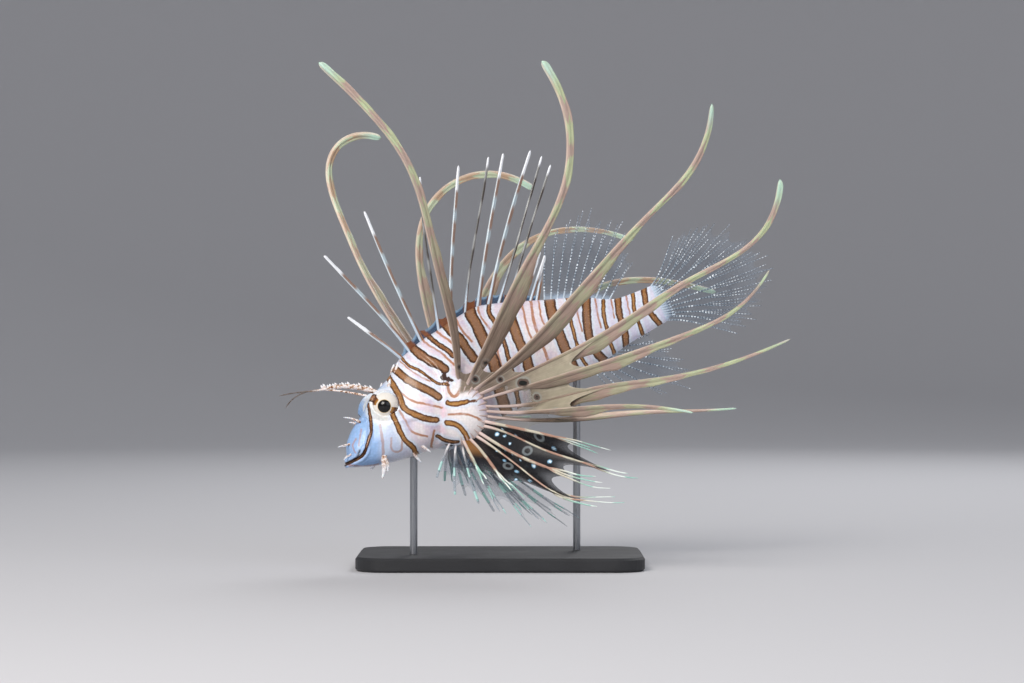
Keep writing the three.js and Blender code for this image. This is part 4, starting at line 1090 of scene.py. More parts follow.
def makeSkin(material):
    alongs, points = skinGrid()
    middle = lerp(station(alongs, 2), station(alongs, 1), body["widestAt"])
    centre = inFish(alongs, middle, 0.0)[:, None]
    side = unit(leftward(alongs))[:, None]
    left = ((points - centre) * side).sum(-1)
    high = middle[:, None] + ((points - centre) * upward).sum(-1)
    face = alongs[:, None] + np.abs(left) * np.sin(turnAt(alongs))[:, None]
    normal = unit(np.cross(np.gradient(points, axis=0), np.roll(points, -1, 1) - np.roll(points, 1, 1)))
    if (normal * (points - centre)).sum() < 0:
        normal = -normal
    # the gill cover's edge stands over the shoulder behind it
    gillGap, across = lineDistance(face, high, smoothLine(head["gillEdge"], 6))
    lift = relief["gillStep"] * np.tanh(across / 0.5) * np.exp(-((gillGap / relief["gillReach"]) ** 2))
    # the lateral line is a row of small tubes
    gap, _ = lineDistance(face, high, smoothLine(relief["lateral"], 10))
    tubes = (0.5 + 0.5 * np.cos(2 * math.pi * face / relief["tubeSpacing"])) * (face > relief["tubesFrom"])
    lift += relief["tube"] * np.exp(-((gap / relief["tubeWidth"]) ** 2)) * tubes
    points = points + normal * lift[..., None]
    marks = skinMarks(face, high)
    # the far side's brow mark would show over the snout
    hidden = (left < 0) & (np.hypot(face - 18, high - 14.5) < 4)
    marks["bandDepth"] = np.where(hidden, -farOff, marks["bandDepth"])
    base = np.hypot((face - 52) / 13, (high + 7) / 15)
    eyeNear = 1 - rises("eyeRound", np.hypot(face - 20.6, high - 9.4))
    mouthGap, _ = lineDistance(face, high, smoothLine(head["mouth"], 6))
    tanFoot = rises("tan", high - 0.6 + 0.2 * (face - 51.3)) * rises("tan", face - 52.2 - 0.55 * high)
    fanned = np.arctan2(high - 0.3, face - 128.0)
    marks.update(
        blueFace=1 - rises("blueFace", face - 0.25 * high),
        whiteBase=(1 - rises("finBase", base)) * (face > 40),
        tailStock=rises("tailStock", face),
        belly=1 - rises("belly", high),
        back=rises("back", high),
        snoutBlue=1 - rises("snoutBlue", face - 0.45 * high),
        eyeRound=eyeNear * np.where(left < 0, rises("farEye", alongs[:, None]), 1),
        # near black along the slit of the mouth
        gumLine=np.exp(-((mouthGap / 0.6) ** 2)) * (face < 5),
        gillPink=np.exp(-((gillGap / 1.3) ** 2)) * rises("gillLow", high) * (1 - rises("gillHigh", high)),
        tanFoot=tanFoot * (1 - rises("finBaseTan", base)),
        # painted shade on the rear rim of the fin base, under the ray feet
        baseRear=rises("baseRear", face - 0.12 * np.abs(high + 7)) * (1 - rises("finBaseRear", base)),
        tailRoot=rises("tailRoot", face),
        tailSmoke=rises("tailSmoke", face) * (0.62 + 0.38 * np.sin(fanned * 105)),
    )
    rows, columns = points.shape[:2]
    snout = points[0].mean(0) + unit(points[0].mean(0) - points[3].mean(0)) * 0.3
    whole = np.concatenate([points.reshape(-1, 3), [snout, points[-1].mean(0)]])
    faces = gridFaces(rows, columns, ring=True) + capFaces(rows, columns)
    values = {
        key: np.concatenate([value.ravel(), [value[0].mean(), value[-1].mean()]]) for key, value in marks.items()}
    makePiece("skin", whole, faces, [material], ("head", "trunk", "tail"), values)


# Points along a curve that starts at (x, y) and turns through the headings, in degrees, as it goes
def trace(start, reach, turns, rows):
    fine = 240
    heading = np.radians(blend(turns, (np.arange(fine) + 0.5) / fine))
    steps = np.stack([np.cos(heading), np.sin(heading)], -1) * reach / fine
    walk = np.concatenate([[start], np.asarray(start) + np.cumsum(steps, axis=0)])
    t = np.linspace(0, 1, rows + 1)
    place = t * fine
    low = np.minimum(place.astype(int), fine - 1)
    share = (place - low)[:, None]
    return t, walk[low] * (1 - share) + walk[low + 1] * share


def lengthsAlong(path):
    return np.concatenate([[0], np.cumsum(np.linalg.norm(np.diff(path, axis=0), axis=-1))])


# Directions across and out of each ray of a fan: across turns with its neighbours as far as the membrane goes
def rayFrames(paths, held):
    frames = []
    for index, path in enumerate(paths):
        before, after = paths[max(index - 1, 0)], paths[min(index + 1, len(paths) - 1)]
        ahead = unit(np.gradient(path, axis=0))
        wide = after - before
        across = np.zeros_like(path)
        last = None
        for row in range(len(path)):
            now = wide[row] if last is None or row <= held[index] else last
            last = unit(now - ahead[row] * (now @ ahead[row]))
            across[row] = last
        frames.append((across, np.cross(across, ahead)))
    return frames


# One ray as a closed tube: a thin blade before and behind a rounded ridge
def addRay(shells, path, frame, lead, trail, ridge, edge, walked, length, **values):
    across, over = frame
    core = np.maximum(ridge, 0.12)
    lead, trail = np.maximum(lead, core * 1.02), np.maximum(trail, core * 1.02)
    # from the leading edge over the ridge to the trailing edge
    spots = [-lead, lerp(-lead, -core, 0.5), -core, -0.7 * core, 0 * core, 0.7 * core, core]
    spots += [lerp(core, trail, 0.33), lerp(core, trail, 0.66), trail]
    spots = np.stack(np.broadcast_arrays(*spots), -1)
    inRidge = np.sqrt(np.clip(1 - (spots / core[:, None]) ** 2, 0, 1))
    room = np.maximum(np.where(spots > 0, (trail - core)[:, None], (lead - core)[:, None]), 0.05)
    blade = 1 - 0.75 * np.clip((np.abs(spots) - core[:, None]) / room, 0, 1)
    half = np.maximum(edge[:, None] * blade, ridge[:, None] * inRidge)
    top = path[:, None] + across[:, None] * spots[..., None] + over[:, None] * half[..., None]
    low = path[:, None] + across[:, None] * spots[..., None] - over[:, None] * half[..., None]
    rings = np.concatenate([top, low[:, ::-1]], axis=1)
    place = np.where(spots > 0, spots / trail[:, None], spots / lead[:, None])
    place = np.concatenate([place, place[:, ::-1]], 1)
    width = np.concatenate([spots, spots[:, ::-1]], 1)
    addTube(shells, rings, 0, place=place, wide=width, walked=walked, left=length - walked, **values)


webGrid = dict(rows=36, columns=13, billow=0.03)  # billow: how far it swells, as a share of its width


# The membrane between two rays, to a scalloped free edge
def addWeb(shells, pathA, pathB, overA, overB, reach, half, scallop, slack, **values):
    rows, columns = webGrid["rows"], webGrid["columns"]
    v = np.linspace(0, 1, columns)
    edge = reach * (1 + 0.04 - scallop * np.sin(math.pi * v) ** 0.8 * 1.6)
    w = np.linspace(0, 1, rows)[:, None]
    share = w * edge
    place = np.clip(share, 0, 1) * (len(pathA) - 1)
    low = np.minimum(place.astype(int), len(pathA) - 2)
    f = (place - low)[..., None]
    a = pathA[low] * (1 - f) + pathA[low + 1] * f
    b = pathB[low] * (1 - f) + pathB[low + 1] * f
    over = unit(overA[low] + overB[low])
    grid = a + (b - a) * v[:, None]
    span = np.linalg.norm(b - a, axis=-1)
    swell = np.sin(math.pi * v) * span * webGrid["billow"] * np.sin(2.2 * math.pi * share + slack)
    grid = grid + over * swell[..., None]
    walked = lengthsAlong(pathA)
    length = np.interp(share.ravel(), np.linspace(0, 1, len(pathA)), walked).reshape(share.shape)
    thin = half * (1 - 0.45 * w) + 0 * share
    between = np.broadcast_to(v, share.shape)
    addSheet(shells, grid, thin, 1, walked=length, between=between, toEdge=(1 - w) * edge * walked[-1], **values)


# How rays are drawn, whichever fin they are in
rayShape = dict(
    room=0.42,  # most of the way to the next ray that a blade takes
    roundTip=0.025, tipLeft=0.02,  # share of the length that rounds off, and what is left at its very end
    branchLead=0.5, branchTrail=0.6, branchWidth=(0.8, 0.45),  # widest before and behind, mm, and its narrowing
    branchCode=0.13, noLimit=50.0,
)


# A whole fan of rays with its membranes. Webs tells how far out each membrane goes, in rows of the solids;
# forks where rays split, in how many ways and how far they part; own values may go to each ray and each web
def fan(paths, webs, sizes, crowding=1.0, rowCount=7, codes=0.0,
        trails=None, leads=None, drawn=None, forks=None, each=None, eachWeb=None):
    rows = len(paths[0]) - 1
    reach = [(web / rowCount) ** crowding if web else 0.0 for web in webs]
    held = [int(rows * max(pair)) for pair in zip([0, *reach], [*reach, 0])]
    frames = rayFrames(paths, held)
    shells = Shells()
    t = np.linspace(0, 1, rows + 1)
    rowShare = t ** (1 / crowding)
    for index, path in enumerate(paths):
        def room(other):  # the blade's share of the gap to a neighbour, or no limit where there is none
            if 0 <= other < len(paths):
                return rayShape["room"] * np.linalg.norm(paths[other] - path, axis=-1)
            return np.full(rows + 1, rayShape["noLimit"])

        if drawn is not None and index not in drawn:
            continue
        past = np.clip((t - (1 - rayShape["roundTip"])) / rayShape["roundTip"], 0, 1)
        taperIn = np.sqrt(np.clip(1 - past**2, rayShape["tipLeft"], 1))
        lead = np.minimum(blend(leads[index] if leads else sizes["lead"], rowShare), room(index - 1)) * taperIn
        behind = np.minimum(blend(trails[index] if trails else sizes["trail"], rowShare), room(index + 1)) * taperIn
        ripple = np.sin(t * 37 + index * 2.3) + 0.6 * np.sin(t * 71 + index * 5.1)
        behind *= 1 + sizes.get("ragged", 0.0) * ripple * smoothstep(0.1, 0.4, t)
        own = each[index] if each else {}
        ridge = blend(sizes["ridge"], rowShare) * taperIn * blend(own.get("thick", [1, 1]), t)
        edge = np.full(rows + 1, sizes["edge"]) * taperIn
        walked = lengthsAlong(path)
        ways = forks["ways"][index] if forks else 1
        stop = int(rows * forks["start"]) if ways > 1 else rows
        part = slice(0, stop + 1)
        values = {key: value for key, value in own.items() if key != "thick"}
        addRay(shells, path[part], [axis[part] for axis in frames[index]], lead[part], behind[part], ridge[part],
               edge[part], walked[part], walked[-1], code=index + codes, **values)
        for way in range(ways if ways > 1 else 0):
            # the branches part slowly and end one after another
            final = int(rows * (1 - 0.05 * ((way * 7 + index * 3) % 4)))
            part = slice(stop - 2, final + 1)
            across, over = (axis[part] for axis in frames[index])
            gone = np.clip((t[part] - t[stop]) / (1 - t[stop]), 0, 1)
            shift = (way - (ways - 1) / 2) * forks["spread"] * gone**0.8 + 0.12 * np.sin(gone * 11 + way * 2 + index)
            branch = path[part] + across * (shift * smoothstep(0, 0.15, gone))[:, None]
            narrow = lerp(*rayShape["branchWidth"], gone) * (1 - 0.8 * smoothstep(0.93, 1, gone / gone[-1]))
            front = np.minimum(lead[part], rayShape["branchLead"]) * narrow
            rear = np.minimum(behind[part], rayShape["branchTrail"]) * narrow
            code = index + codes + rayShape["branchCode"] * way
            addRay(shells, branch, (across, over), front, rear, ridge[part] * narrow, edge[part] * narrow,
                   walked[part], walked[final], code=code, **values)
    for index, far in enumerate(reach):
        if far > 0:
            addWeb(shells, paths[index], paths[index + 1], frames[index][1], frames[index + 1][1], far,
                   sizes.get("web", 0.09), sizes.get("scallop", 0.14), index * 1.7,
                   code=index + 0.5 + codes, **(eachWeb[index] if eachWeb else {}))
    return shells


# How far points lie from the nearest of some spots, in spot radii. A spot is on or between rays (a number like
# 1.3 lies between two), at a share of their length
def spotValues(key, spots, paths):
    centres, radii = [], []
    for ray, share, radius in spots:
        low = min(int(ray), len(paths) - 2)
        row = int(round(share * (len(paths[low]) - 1)))
        centres.append(lerp(paths[low][row], paths[low + 1][row], ray - low))
        radii.append(radius)

    def marks(points):
        best = np.full(len(points), 20.0)
        for centre, radius in zip(centres, radii):
            best = np.minimum(best, np.linalg.norm(points - centre, axis=-1) / radius)
        return {key: best}
    return marks


# Dorsal spines: along the back from the nape, with the length and headings of each
dorsalSpines = [
    (37.7, 28.5, [116, 117, 117]), (41.5, 55, [101, 110, 110]), (47.5, 61, [92, 88, 86]), (55.4, 66, [73, 75, 69]),
    (60.5, 68.5, [66, 61, 60]), (68.0, 67.5, [61, 56, 58]), (74.0, 67.5, [59, 55, 54]), (78.5, 68, [54, 51, 47]),
    (82.5, 66.5, [48, 49, 49]), (87.0, 61, [51, 49, 48]), (92.2, 23, [47, 46, 45]), (95.4, 20, [49, 49, 49]),
    (98.2, 19, [56, 54, 53]),
]
spineShape = dict(
    splay=3.2,  # how far the tips stand to alternate sides, mm
    slim=(3, 5, 8, 9),  # these are slimmer and dark, with small pale swellings
    trails=([1.7, 1.2, 1.05, 1.0, 1.05, 0.95, 0.7], [0.9, 0.6, 0.35, 0.65, 0.35, 0.65, 0.5]),  # stout and slim
    sizes=dict(lead=[0.8, 0.62, 0.6, 0.45], ridge=[0.75, 0.62, 0.5, 0.38], edge=0.16, ragged=0.05),
)


def bodyPaths(rays, rows):
    paths = []
    for start, reach, turns, lean in rays:
        t, places = trace(start, reach, turns, rows)
        paths.append(inFish(places[:, 0], places[:, 1], blend(lean, t)))
    return paths


# Bands of the back run a little way up the membrane between the spines
def bandsReachUp(points):
    across, up = seenFrom(points)
    face = (across - pose["snoutAcross"]) * backward[0] + (up - pose["snoutUp"]) * backward[2]
    high = (up - pose["snoutUp"]) * backward[0] - (across - pose["snoutAcross"]) * backward[2]
    return dict(brown=smoothstep(-0.4, 0.5, skinMarks(face, high)["bandDepth"]))


def makeDorsalSpines(materials):
    rays, each, trails = [], [], []
    for index, (along, length, turns) in enumerate(dorsalSpines):
        sway = (1 if index % 2 else -1) * spineShape["splay"] * max(length / 66, 0.6)
        rays.append(((along, station(np.float64(along), 1) - 3), length + 3, turns, [0, 0, sway / 2, sway]))
        slim = index in spineShape["slim"]
        each.append(dict(thin=1.0 if slim else 0.0, thick=[0.8, 0.8] if slim else [1, 1]))
        trails.append(spineShape["trails"][slim])
    webs = [2 if index > 8 else 1 for index in range(12)]
    shells = fan(
        bodyPaths(rays, 110), webs, spineShape["sizes"], crowding=1.2, rowCount=6, trails=trails, each=each)
    shells.make("spines", materials, "spine", ("dorsal_spines",), bandsReachUp)


# Soft dorsal, tail and anal fins: clear, with thin jointed rays that split before the edge
thinRays = dict(
    lead=[0.3, 0.24, 0.16], trail=[0.3, 0.24, 0.16], ridge=[0.38, 0.24, 0.14], edge=0.1, web=0.07, scallop=0.06,
)
jointedRays = dict(length=1.35, dash="#eaf3fa", footReach=8.0)
softDorsal = dict(
    lengths=[33, 34, 36.5, 38.5, 39.5, 38.5, 37.5, 36, 30.5, 25, 20], place=(102, 126.5), heading=(64, 35),
)
tailFan = dict(
    lengths=[24, 30, 35.5, 40, 45, 49, 51, 51, 48.5, 45, 40, 35, 31],
    headings=[42, 37, 32, 26, 18, 10, 2, -6, -13, -19, -25, -30, -36],
    high=(6.8, -6.2), feetHigh=(7.6, -7.0), start=0.42, spread=2.4,  # where its rays split, and how far they part
)
analFan = dict(
    lengths=[9, 13.5, 19, 31, 38.5, 38.5, 32.5, 24, 18, 14.5],
    headings=[-74, -68, -60, -53, -44, -36, -31, -25, -16, -4], place=(108.6, 123),
)
footMarks = dict(place=0.0, wide=0.0, walked=0.0, left=99.0)  # a ray's foot is painted as its very start


def softFin(name, rays, webs, node, materials, codes, ways, start=0.5, spread=1.3, feetHigh=None, sizes=thinRays):
    forks = dict(ways=ways, start=start, spread=spread)
    shells = fan(rays, webs, sizes, crowding=0.65, rowCount=5, codes=codes, forks=forks)
    if feetHigh:
        addTailFeet(shells, *feetHigh, len(rays))
    shells.make(name, materials, "clear_fin", (node,))


# The tail's rays begin as low ridges on both sides of the end of the flesh
def addTailFeet(shells, top, bottom, count):
    for side in (1, -1):
        for index in range(count):
            high = lerp(top, bottom, index / (count - 1))
            along = np.linspace(146.4, 151.4, 16)
            high = high * (0.8 + 0.035 * (along - 146.4))
            left = (flank(np.minimum(along, body["end"] - 0.1), high) - 0.05) * (1 - smoothstep(149.2, 151.4, along))
            radii = np.interp(along, [146.4, 147.6, 151.4], [0.05, 0.3, 0.34])
            path = inFish(along, high, side * np.maximum(left, 0.1))
            addTube(shells, barRings(path, radii, 10), code=float(index), **footMarks)


def makeSoftFins(materials):
    rays = []
    for index, length in enumerate(softDorsal["lengths"]):
        t = index / (len(softDorsal["lengths"]) - 1)
        along, heading = lerp(*softDorsal["place"], t), lerp(*softDorsal["heading"], t**0.85)
        rays.append(((along, station(np.float64(along), 1) - 2.5), length + 2.5, [heading + 3, heading - 2], [0, 0]))
    softFin("soft_dorsal", bodyPaths(rays, 90), [4] * 10, "dorsal_soft_fin", materials, 0.0, [1] + [2] * 10)
    rays = []
    for index, (length, heading) in enumerate(zip(tailFan["lengths"], tailFan["headings"])):
        start = (body["end"] - 7, lerp(*tailFan["high"], index / 12))
        turns = [heading * 0.5, heading * 1.05, heading * 1.1]
        rays.append((start, length + 4, turns, [0, 1.2 * math.sin(index * 1.1)]))
    softFin("tail_fan", bodyPaths(rays, 100), [4.4] * 12, "tail_fin", materials, 20.0, [1, 2] + [3] * 9 + [2, 1],
            start=tailFan["start"], spread=tailFan["spread"], feetHigh=tailFan["feetHigh"])
    rays = []
    for index, (length, heading) in enumerate(zip(analFan["lengths"], analFan["headings"])):
        along = lerp(*analFan["place"], index / 9)
        rays.append(((along, station(np.float64(along), 2) + 2.5), length + 2.5, [heading - 2, heading + 2], [0, 0]))
    softFin("anal_fan", bodyPaths(rays, 90), [3, 3] + [4] * 7, "anal_fin", materials, 40.0, [1, 1, 1] + [2] * 7)


# Pelvic fins: one spine and five rays, headings as the viewer sees them
pelvicRays = dict(
    lead=[0.42, 0.5, 0.58, 0.5], trail=[0.42, 0.5, 0.58, 0.5], ridge=[0.4, 0.4, 0.38, 0.3],
    edge=0.2, web=0.07, scallop=0.1,
)
dashedRays = dict(
    length=11.0, dash="#b4e4dc", dashEdge=(0.0, 0.45), gap="#93a7b4", gapVeil=0.34, faint=0.8, stray=3.0,
    foot="#f6eef0", footReach=21.0,
)
pelvicFins = dict(
    left=dict(
        side=1, code=60.0, spread=[0, 8, 14, 17],
        lengths=[19, 25, 30, 38.5, 48.5, 57], headings=[-112, -92, -75, -63, -54, -49]),
    right=dict(
        side=-1, code=80.0, spread=[0, 5, 8, 9],
        lengths=[18, 25, 35.5, 48.5, 59.5, 68], headings=[-97, -78, -63, -46, -40, -36]),
)


def makePelvicFins(materials):
    for name, fin in pelvicFins.items():
        paths = []
        for index, (length, heading) in enumerate(zip(fin["lengths"], fin["headings"])):
            along = 44 + 0.9 * index
            root = inFish(along, station(np.float64(along), 2) + 3, fin["side"] * 3.6)
            t, places = trace(seenFrom(root), length + 3, [heading - 10, heading, heading + 5], 90)
            paths.append(seen(places[:, 0], places[:, 1], -root[1] + fin["side"] * blend(fin["spread"], t)))
        softFin("pelvic_" + name, paths, [4] * 5, "pelvic_fin_" + name, materials, fin["code"], [1, 1, 1, 2, 2, 2],
                spread=1.9, sizes=pelvicRays)


# Pectoral fins: fourteen rays round the rear rim of the base, from the top down: reach, headings as seen,
# how far the ray comes out to the viewer on its way, and the width of its blade
leftRays = [
    (158.5, [93, 104, 104, 129, 138], [0, 18, 30, 34], 4.2), (155, [64, 65, 61, 90, 124], [0, 22, 36, 42], 8.6),
    (166, [34, 47, 48, 47, 85], [0, 24, 42, 50], 8), (168, [24, 26, 34, 30, 86], [0, 25, 46, 58], 7),
    (141, [15, 17, 19, 25, 59], [0, 25, 48, 62], 7), (138, [-5, 15, 7, 16, 24], [0, 24, 48, 64], 6.5),
    (92, [-7, 3, 5, -2, -12], [0, 23, 46, 60], 5), (110.5, [-8, -1, 7, 2, 4], [0, 20, 36, 44], 3.4),
    (58.5, [-11, -12, -13, -18, -20], [0, 17, 30, 38], 2.6), (81, [-8, -26, -17, -17, 13], [0, 16, 29, 37], 2.4),
    (63.5, [-34, -29, -21, -18, 1], [0, 15, 27, 35], 2.2), (75, [-31, -37, -36, -8, -1], [0, 13, 24, 30], 2.2),
    (37, [-43, -49, -55, -44, -49], [0, 11, 20, 26], 1.8), (25.5, [-62, -62, -63, -59, -59], [0, 9, 16, 20], 1.6),
]
rightRays = [
    (142, [122, 123, 114, 97, -19], [0, -32, -56, -66], 5), (136.5, [100, 104, 86, 25, -33], [0, -38, -66, -78], 6.5),
    (125.5, [69, 76, 52, 8, -21], [0, -42, -74, -90], 7.5), (132, [45, 40, 37, 0, -17], [0, -42, -78, -100], 7.5),
    (68, [31, 27, 24, 20], [0, -42, -80, -106], 7), (52, [24, 20, 18, 16], [0, -42, -80, -106], 6.5),
    (35, [20, 18, 16, 14], [0, -38, -70, -92], 5), (30, [6, 5, 5, 5], [0, -34, -62, -80], 3.4),
    (28, [-10, -10, -10, -10], [0, -28, -50, -62], 2.6), (28, [-24, -24, -22, -20], [0, -24, -44, -56], 2.4),
    (28, [-38, -38, -36, -34], [0, -21, -38, -48], 2.2), (26, [-54, -52, -50, -48], [0, -18, -31, -40], 2.2),
    (23, [-68, -66, -64, -62], [0, -14, -24, -30], 1.8), (19, [-84, -80, -78, -76], [0, -10, -17, -21], 1.6),
]
pectoral = dict(
    root=0.72, firstTurn=62, lastTurn=-106,
    upperWebs=[1, 1.5, 2.3, 5, 5, 6, 5, 5], lowerWebs=[5, 5, 5, 5, 5],
    clearTo=[-9, -9, -9, 17, 27, 32, 38, 70],  # how far out each upper membrane stays clear, mm
    # eye spots of the upper part, drops and rings of the lower: ray, share of its length, radius in mm
    eyeSpots=[
        (0.15, 0.067, 1.0), (1.3, 0.1, 1.1), (1.35, 0.045, 1.0), (2.6, 0.087, 0.9), (3.6, 0.14, 1.3),
        (3.75, 0.155, 1.4), (4.7, 0.19, 1.1), (6.2, 0.34, 1.15)],
    drops=[
        (9.4, 0.133, 0.8), (8.6, 0.153, 0.6), (9.3, 0.175, 0.6), (8.8, 0.227, 0.75), (7.9, 0.233, 0.85),
        (9.6, 0.233, 0.6), (10.1, 0.247, 0.65), (11.1, 0.2, 0.6), (10.15, 0.3, 0.5), (11.4, 0.327, 0.7),
        (11.4, 0.447, 0.85), (10.2, 0.46, 0.85), (11.3, 0.527, 0.8), (8.7, 0.467, 0.95), (10.3, 0.36, 0.5),
        (9.6, 0.5, 0.8), (11.7, 0.6, 0.6)],
    rings=[(8.2, 0.427, 1.25), (9.5, 0.34, 1.1), (11.5, 0.4, 1.1)],
    # width before the ridge along each ray, and its thickness against the usual one, mm
    leads=[[0.9, 1.1, 1.2, 1.3, 1.4]] * 2 + [
        [0.9, 1.1, 1.0, 1.0, 0.8], [0.5, 0.9, 1.0, 0.9, 0.9], [0.5, 0.9, 1.0, 0.8, 0.4],
        [0.5, 0.9, 0.9, 0.7, 0.4], [0.5, 0.9, 0.9, 0.7, 0.4], [0.6, 1.0, 2.0, 0.9, 0.4],
    ] + [[0.5, 0.6, 0.6, 0.5, 0.3]] * 6,
    thick=[[0.8, 1, 1]] * 3 + [[0.5, 0.75, 1, 0.9, 0.9]] + [[0.5, 0.75, 1, 0.85, 0.5]] * 4,
    tanFrom=(-4, 0, 0, 8, 20, 26, 30, 30),  # the blades of the lower rays of this part turn tan further out
    sizes=dict(edge=0.22, ragged=0.07, web=0.12),
    upperRidge=[0.9, 0.75, 0.65, 0.7, 0.75], lowerRidge=[0.75, 0.62, 0.55, 0.42, 0.3],
    forks=dict(ways=[3, 2, 3, 3, 2, 2], start=0.55, spread=2.6),
)


# How wide each ray's blade is behind its ridge, from its foot to its tip
def bladeTrails(side, rays):
    trails = []
    for index, (_, _, _, wide) in enumerate(rays):
        early = [0.62, 0.75, 0.5] if index < 4 else [0.9 / wide, 0.85, 0.55]
        trails.append([0.8] + [share * wide for share in early] + [1.7, 1.1, 0.5])
    trails[3][1] = 2.2
    for index in (0, 1):
        trails[index][3:] = [2.2, 2.0, 2.0, 1.9]
    trails[2][4:] = [1.5, 1.9, 1.1] if side > 0 else [2.2, 2.0, 1.6]
    trails[3][4:] = [1.5, 1.2, 1.9] if side > 0 else [2.2, 2.0, 1.6]
    trails[6] = [0.6, 0.7, 1.0, 3.6, 1.4, 1.0, 0.5]
    trails[7] = [0.6, 0.6, 0.6, 0.6, 0.6, 0.6, 0.4]
    return trails[:8] + [[0.5, 0.6, 0.75, 0.7, 0.6, 0.5, 0.4]] * 6


# A place on or over a ray's way through the fleshy base: the ray's number, how far out, how deep
def inRayRoot(side, index, far, out):
    turn = math.radians(lerp(pectoral["firstTurn"], pectoral["lastTurn"], index / 13))
    return inBase(
        side, far * pectoralBase["reach"] * math.cos(turn), far * pectoralBase["height"] * math.sin(turn), out)


def pectoralPaths(side, rays, rows):
    paths = []
    for index, (reach, turns, nearer, _) in enumerate(rays):
        root = inRayRoot(side, index, pectoral["root"], 0.2 * pectoralBase["depth"])
        t, places = trace(seenFrom(root), reach, turns, rows)
        paths.append(seen(places[:, 0], places[:, 1], -root[1] + blend(nearer, t)))
    return paths


# Each ray begins under the skin of the fleshy base, as a low ridge
def addRayFeet(shells, side, indexes):
    for index in indexes:
        out = np.linspace(0.62, 0.985, 14)
        path = np.array([
            inRayRoot(side, index, far, pectoralBase["depth"] * math.sqrt(1 - far**2) - 0.22) for far in out])
        radii = np.interp(out, [0.62, 0.85, 0.985], [0.12, 0.42, 0.7])
        addTube(shells, barRings(path, radii, 12), code=float(index), **footMarks)


def makePectoral(side, name, rays, upperMaterials, lowerMaterials):
    paths = pectoralPaths(side, rays, 150)
    trails, leads = bladeTrails(side, rays), pectoral["leads"]
    sizes = dict(pectoral["sizes"], ridge=pectoral["upperRidge"])
    clear = [dict(clearTo=far) for far in pectoral["clearTo"]]
    each = [dict(clearTo=-far, thick=thick) for far, thick in zip(pectoral["tanFrom"], pectoral["thick"])]
    upper = fan(paths[:9], pectoral["upperWebs"], sizes, crowding=1.08, rowCount=13,
                trails=trails[:9], leads=leads[:9], drawn=range(8), each=each, eachWeb=clear)
    addRayFeet(upper, side, range(8))
    upper.make("pectoral_" + name, upperMaterials, "pectoral_fin", ("pectoral_" + name + "_upper",),
               spotValues("eyeSpot", pectoral["eyeSpots"], paths))
    sizes["ridge"] = pectoral["lowerRidge"]
    lower = fan(paths[8:], pectoral["lowerWebs"], sizes, codes=8.0,
                trails=trails[8:], leads=leads[8:], forks=pectoral["forks"])
    addRayFeet(lower, side, range(8, 14))
    drops = spotValues("dropSpot", pectoral["drops"], paths)
    rings = spotValues("ringSpot", pectoral["rings"], paths)
    lower.make("pectoral_lobe_" + name, lowerMaterials, "pectoral_fin", ("pectoral_" + name + "_lower",),
               lambda points: {**drops(points), **rings(points)})


# Tentacles over the eyes, and the small ones of the face
browTentacles = dict(
    left=dict(
        side=1, reach=44.5, turns=[165, 171, 191, 185, 194], nearer=[0, 3, 8, 14],
        radii=[1.0, 1.05, 0.9, 0.45, 0.32, 0.2], lobes=9),
    right=dict(
        side=-1, reach=40.5, turns=[168, 170, 179, 200, 240], nearer=[0, -3, -7, -12],
        radii=[0.55, 0.42, 0.34, 0.28, 0.2], lobes=0),
)
frill = dict(first=0.1, final=0.56, height=2.1, radius=0.55, lean=-0.5)
browPlace = (20.4, 14.9, 5.6)


def makeBrowTentacles(material):
    for name, tentacle in browTentacles.items():
        side = tentacle["side"]
        root = inFish(browPlace[0], browPlace[1], side * browPlace[2])
        t, places = trace(seenFrom(root), tentacle["reach"], tentacle["turns"], 90)
        path = seen(places[:, 0], places[:, 1], -root[1] + blend(tentacle["nearer"], t))
        shells = Shells()
        bumps = 1 + 0.09 * np.sin(t * 95) + 0.06 * np.sin(t * 41 + 2)
        radii = blend(tentacle["radii"], t) * bumps * (1 - 0.7 * smoothstep(0.96, 1, t))
        addTube(shells, barRings(path, radii, 14), share=t, tip=0.0)
        rng = np.random.default_rng(7)
        count = tentacle["lobes"]
        for lobe in range(count):
            place = lerp(frill["first"], frill["final"], lobe / (count - 1))
            foot = path[int(place * 90)]
            tall = frill["height"] * (0.75 if lobe % 2 else 1.0) * rng.uniform(0.9, 1.15)
            for twin in (-1, 1):  # each lobe splits in two leaves
                rise = tall * (1 if twin > 0 else 0.8)
                tip = foot + np.array([frill["lean"] * tall + twin * 0.35, twin * 0.5, rise])
                s = np.linspace(0, 1, 12)[:, None]
                bend = foot * (1 - s) + tip * s + np.array([0.3, 0, 0]) * np.sin(math.pi * s) * twin
                shape = frill["radius"] * (1 - s[:, 0] ** 3) * (0.8 + 0.35 * np.sin(math.pi * s[:, 0])) + 0.06
                addTube(shells, barRings(bend, shape, 10, squash=0.6), share=place, tip=s[:, 0])
        shells.make("brow_" + name, [material], "skin", ("brow_tentacle_" + name,))


